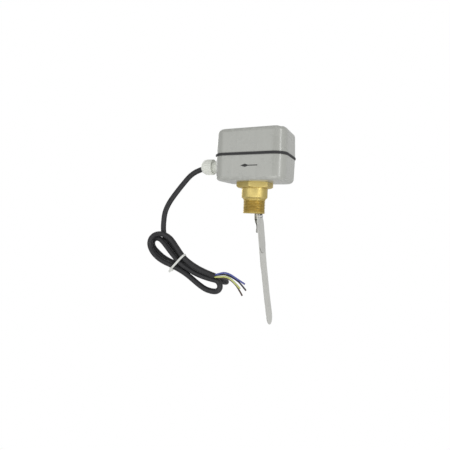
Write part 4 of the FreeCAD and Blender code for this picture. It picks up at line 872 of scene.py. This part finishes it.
class FLOWSWITCH_OT_stage(bpy.types.Operator):
    """Set the floor, the room, four soft lamps and the camera"""
    bl_idname = "flowswitch.stage"
    bl_label = "Stage"

    def execute(self, context):
        values = settings("flow_stage")
        self.floor(values.floor)
        self.room(values.room)
        self.lamp("key", (-0.45, -1.05, 0.18), 0.8, 0.8, 2.2)
        self.lamp("corner light", (1.0, -0.50, 0.1), 0.16, 1.1, 4.2)
        self.lamp("low light", (0.2, -0.85, -0.42), 0.9, 0.3, 2.4)
        self.lamp("back", (-0.95, 0.75, 0.35), 0.7, 0.7, 4.0)
        self.camera()
        return {"FINISHED"}

    def floor(self, height):
        """Flat square far larger than the view, which the camera sees plain white."""
        span = np.array([-6000.0, 6000.0])
        x, y = np.meshgrid(span, span, indexing="ij")
        points = np.stack([x, y, np.full_like(x, height / MM)], -1)
        piece = mesh_object("floor", points, grid_quads(2, 2, False, False)[:, ::-1])
        material, tree, shader, _ = start_material("Pale floor")
        shader.inputs["Base Color"].default_value = (0.86, 0.86, 0.86, 1)
        shader.inputs["Roughness"].default_value = 0.9
        white_for_camera(tree, shader.outputs[0], "ShaderNodeEmission", "Material Output")
        piece.data.materials.append(material)

    def room(self, strength):
        """Even room light, seen white by the camera."""
        world = bpy.data.worlds.new("Room")
        bpy.context.scene.world = world
        world.use_nodes = True
        tree = world.node_tree
        background = tree.nodes["Background"]
        background.inputs["Color"].default_value = (1, 1, 1, 1)
        background.inputs["Strength"].default_value = strength
        white_for_camera(tree, background.outputs[0], "ShaderNodeBackground", "World Output")

    def lamp(self, name, spot, width, height, power):
        """Rectangular soft lamp at a spot, turned to the middle of the part."""
        data = bpy.data.lights.new(name, "AREA")
        data.shape = "RECTANGLE"
        data.size = width
        data.size_y = height
        data.energy = power
        lamp = bpy.data.objects.new(name, data)
        back = unit(np.array(spot) - np.array((-0.03, 0, -0.02)))
        right = unit(np.cross((0, 0, 1), back))
        lamp.matrix_world = pose(right, np.cross(back, right), back, spot)
        bpy.context.scene.collection.objects.link(lamp)

    def camera(self):
        """Eye 24.3 degrees right of the front, 2.3 degrees up and rolled by 2 degrees, 531 mm away."""
        turn, rise, roll, away = math.radians(24.33), math.radians(2.3), math.radians(1.99), 0.53084
        target = np.array((-0.0471, 0.0, -0.0412))
        back = np.array((math.sin(turn) * math.cos(rise), -math.cos(turn) * math.cos(rise), math.sin(rise)))
        right = unit(np.cross(-back, (0, 0, 1)))
        up = np.cross(right, -back)
        tilted = math.cos(roll) * right + math.sin(roll) * up
        upright = -math.sin(roll) * right + math.cos(roll) * up
        data = bpy.data.cameras.new("camera")
        data.lens = 27.04
        data.sensor_width = 36.0
        data.clip_start = 0.01
        data.clip_end = 50
        eye = bpy.data.objects.new("camera", data)
        eye.matrix_world = pose(tilted, upright, back, target + back * away)
        bpy.context.scene.collection.objects.link(eye)
        bpy.context.scene.camera = eye


class FLOWSWITCH_PT_panel(bpy.types.Panel):
    """Sizes and colours of the flow switch, with a button for each piece"""
    bl_idname = "FLOWSWITCH_PT_panel"
    bl_label = "Flow switch"
    bl_space_type = "VIEW_3D"
    bl_region_type = "UI"
    bl_category = "Flow switch"

    def draw(self, context):
        for group in SETTINGS:
            values = getattr(context.scene, group)
            for key in values.__annotations__:
                self.layout.prop(values, key)
        for operator in OPERATORS:
            self.layout.operator(operator.bl_idname)


SETTINGS = {"flow_housing": HousingSettings, "flow_pipe_body": PipeBodySettings, "flow_paddles": PaddleSettings,
            "flow_gland": GlandSettings, "flow_cable": CableSettings, "flow_stage": StageSettings}
OPERATORS = (FLOWSWITCH_OT_housing, FLOWSWITCH_OT_pipe_body, FLOWSWITCH_OT_paddles, FLOWSWITCH_OT_mechanism,
             FLOWSWITCH_OT_gland, FLOWSWITCH_OT_cable, FLOWSWITCH_OT_stage)


def register():
    """Register the settings, the operators and the panel."""
    for group, kind in SETTINGS.items():
        bpy.utils.register_class(kind)
        setattr(bpy.types.Scene, group, PointerProperty(type=kind))
    for kind in OPERATORS:
        bpy.utils.register_class(kind)
    bpy.utils.register_class(FLOWSWITCH_PT_panel)


def unregister():
    """Take back all that register adds."""
    bpy.utils.unregister_class(FLOWSWITCH_PT_panel)
    for kind in reversed(OPERATORS):
        bpy.utils.unregister_class(kind)
    for group, kind in SETTINGS.items():
        delattr(bpy.types.Scene, group)
        bpy.utils.unregister_class(kind)


def main():
    register()
    bpy.context.scene.view_settings.view_transform = "Standard"
    bpy.ops.flowswitch.housing()
    bpy.ops.flowswitch.pipe_body()
    bpy.ops.flowswitch.paddles()
    bpy.ops.flowswitch.mechanism()
    bpy.ops.flowswitch.gland()
    bpy.ops.flowswitch.cable()
    bpy.ops.flowswitch.stage()


if __name__ == "__main__":
    main()
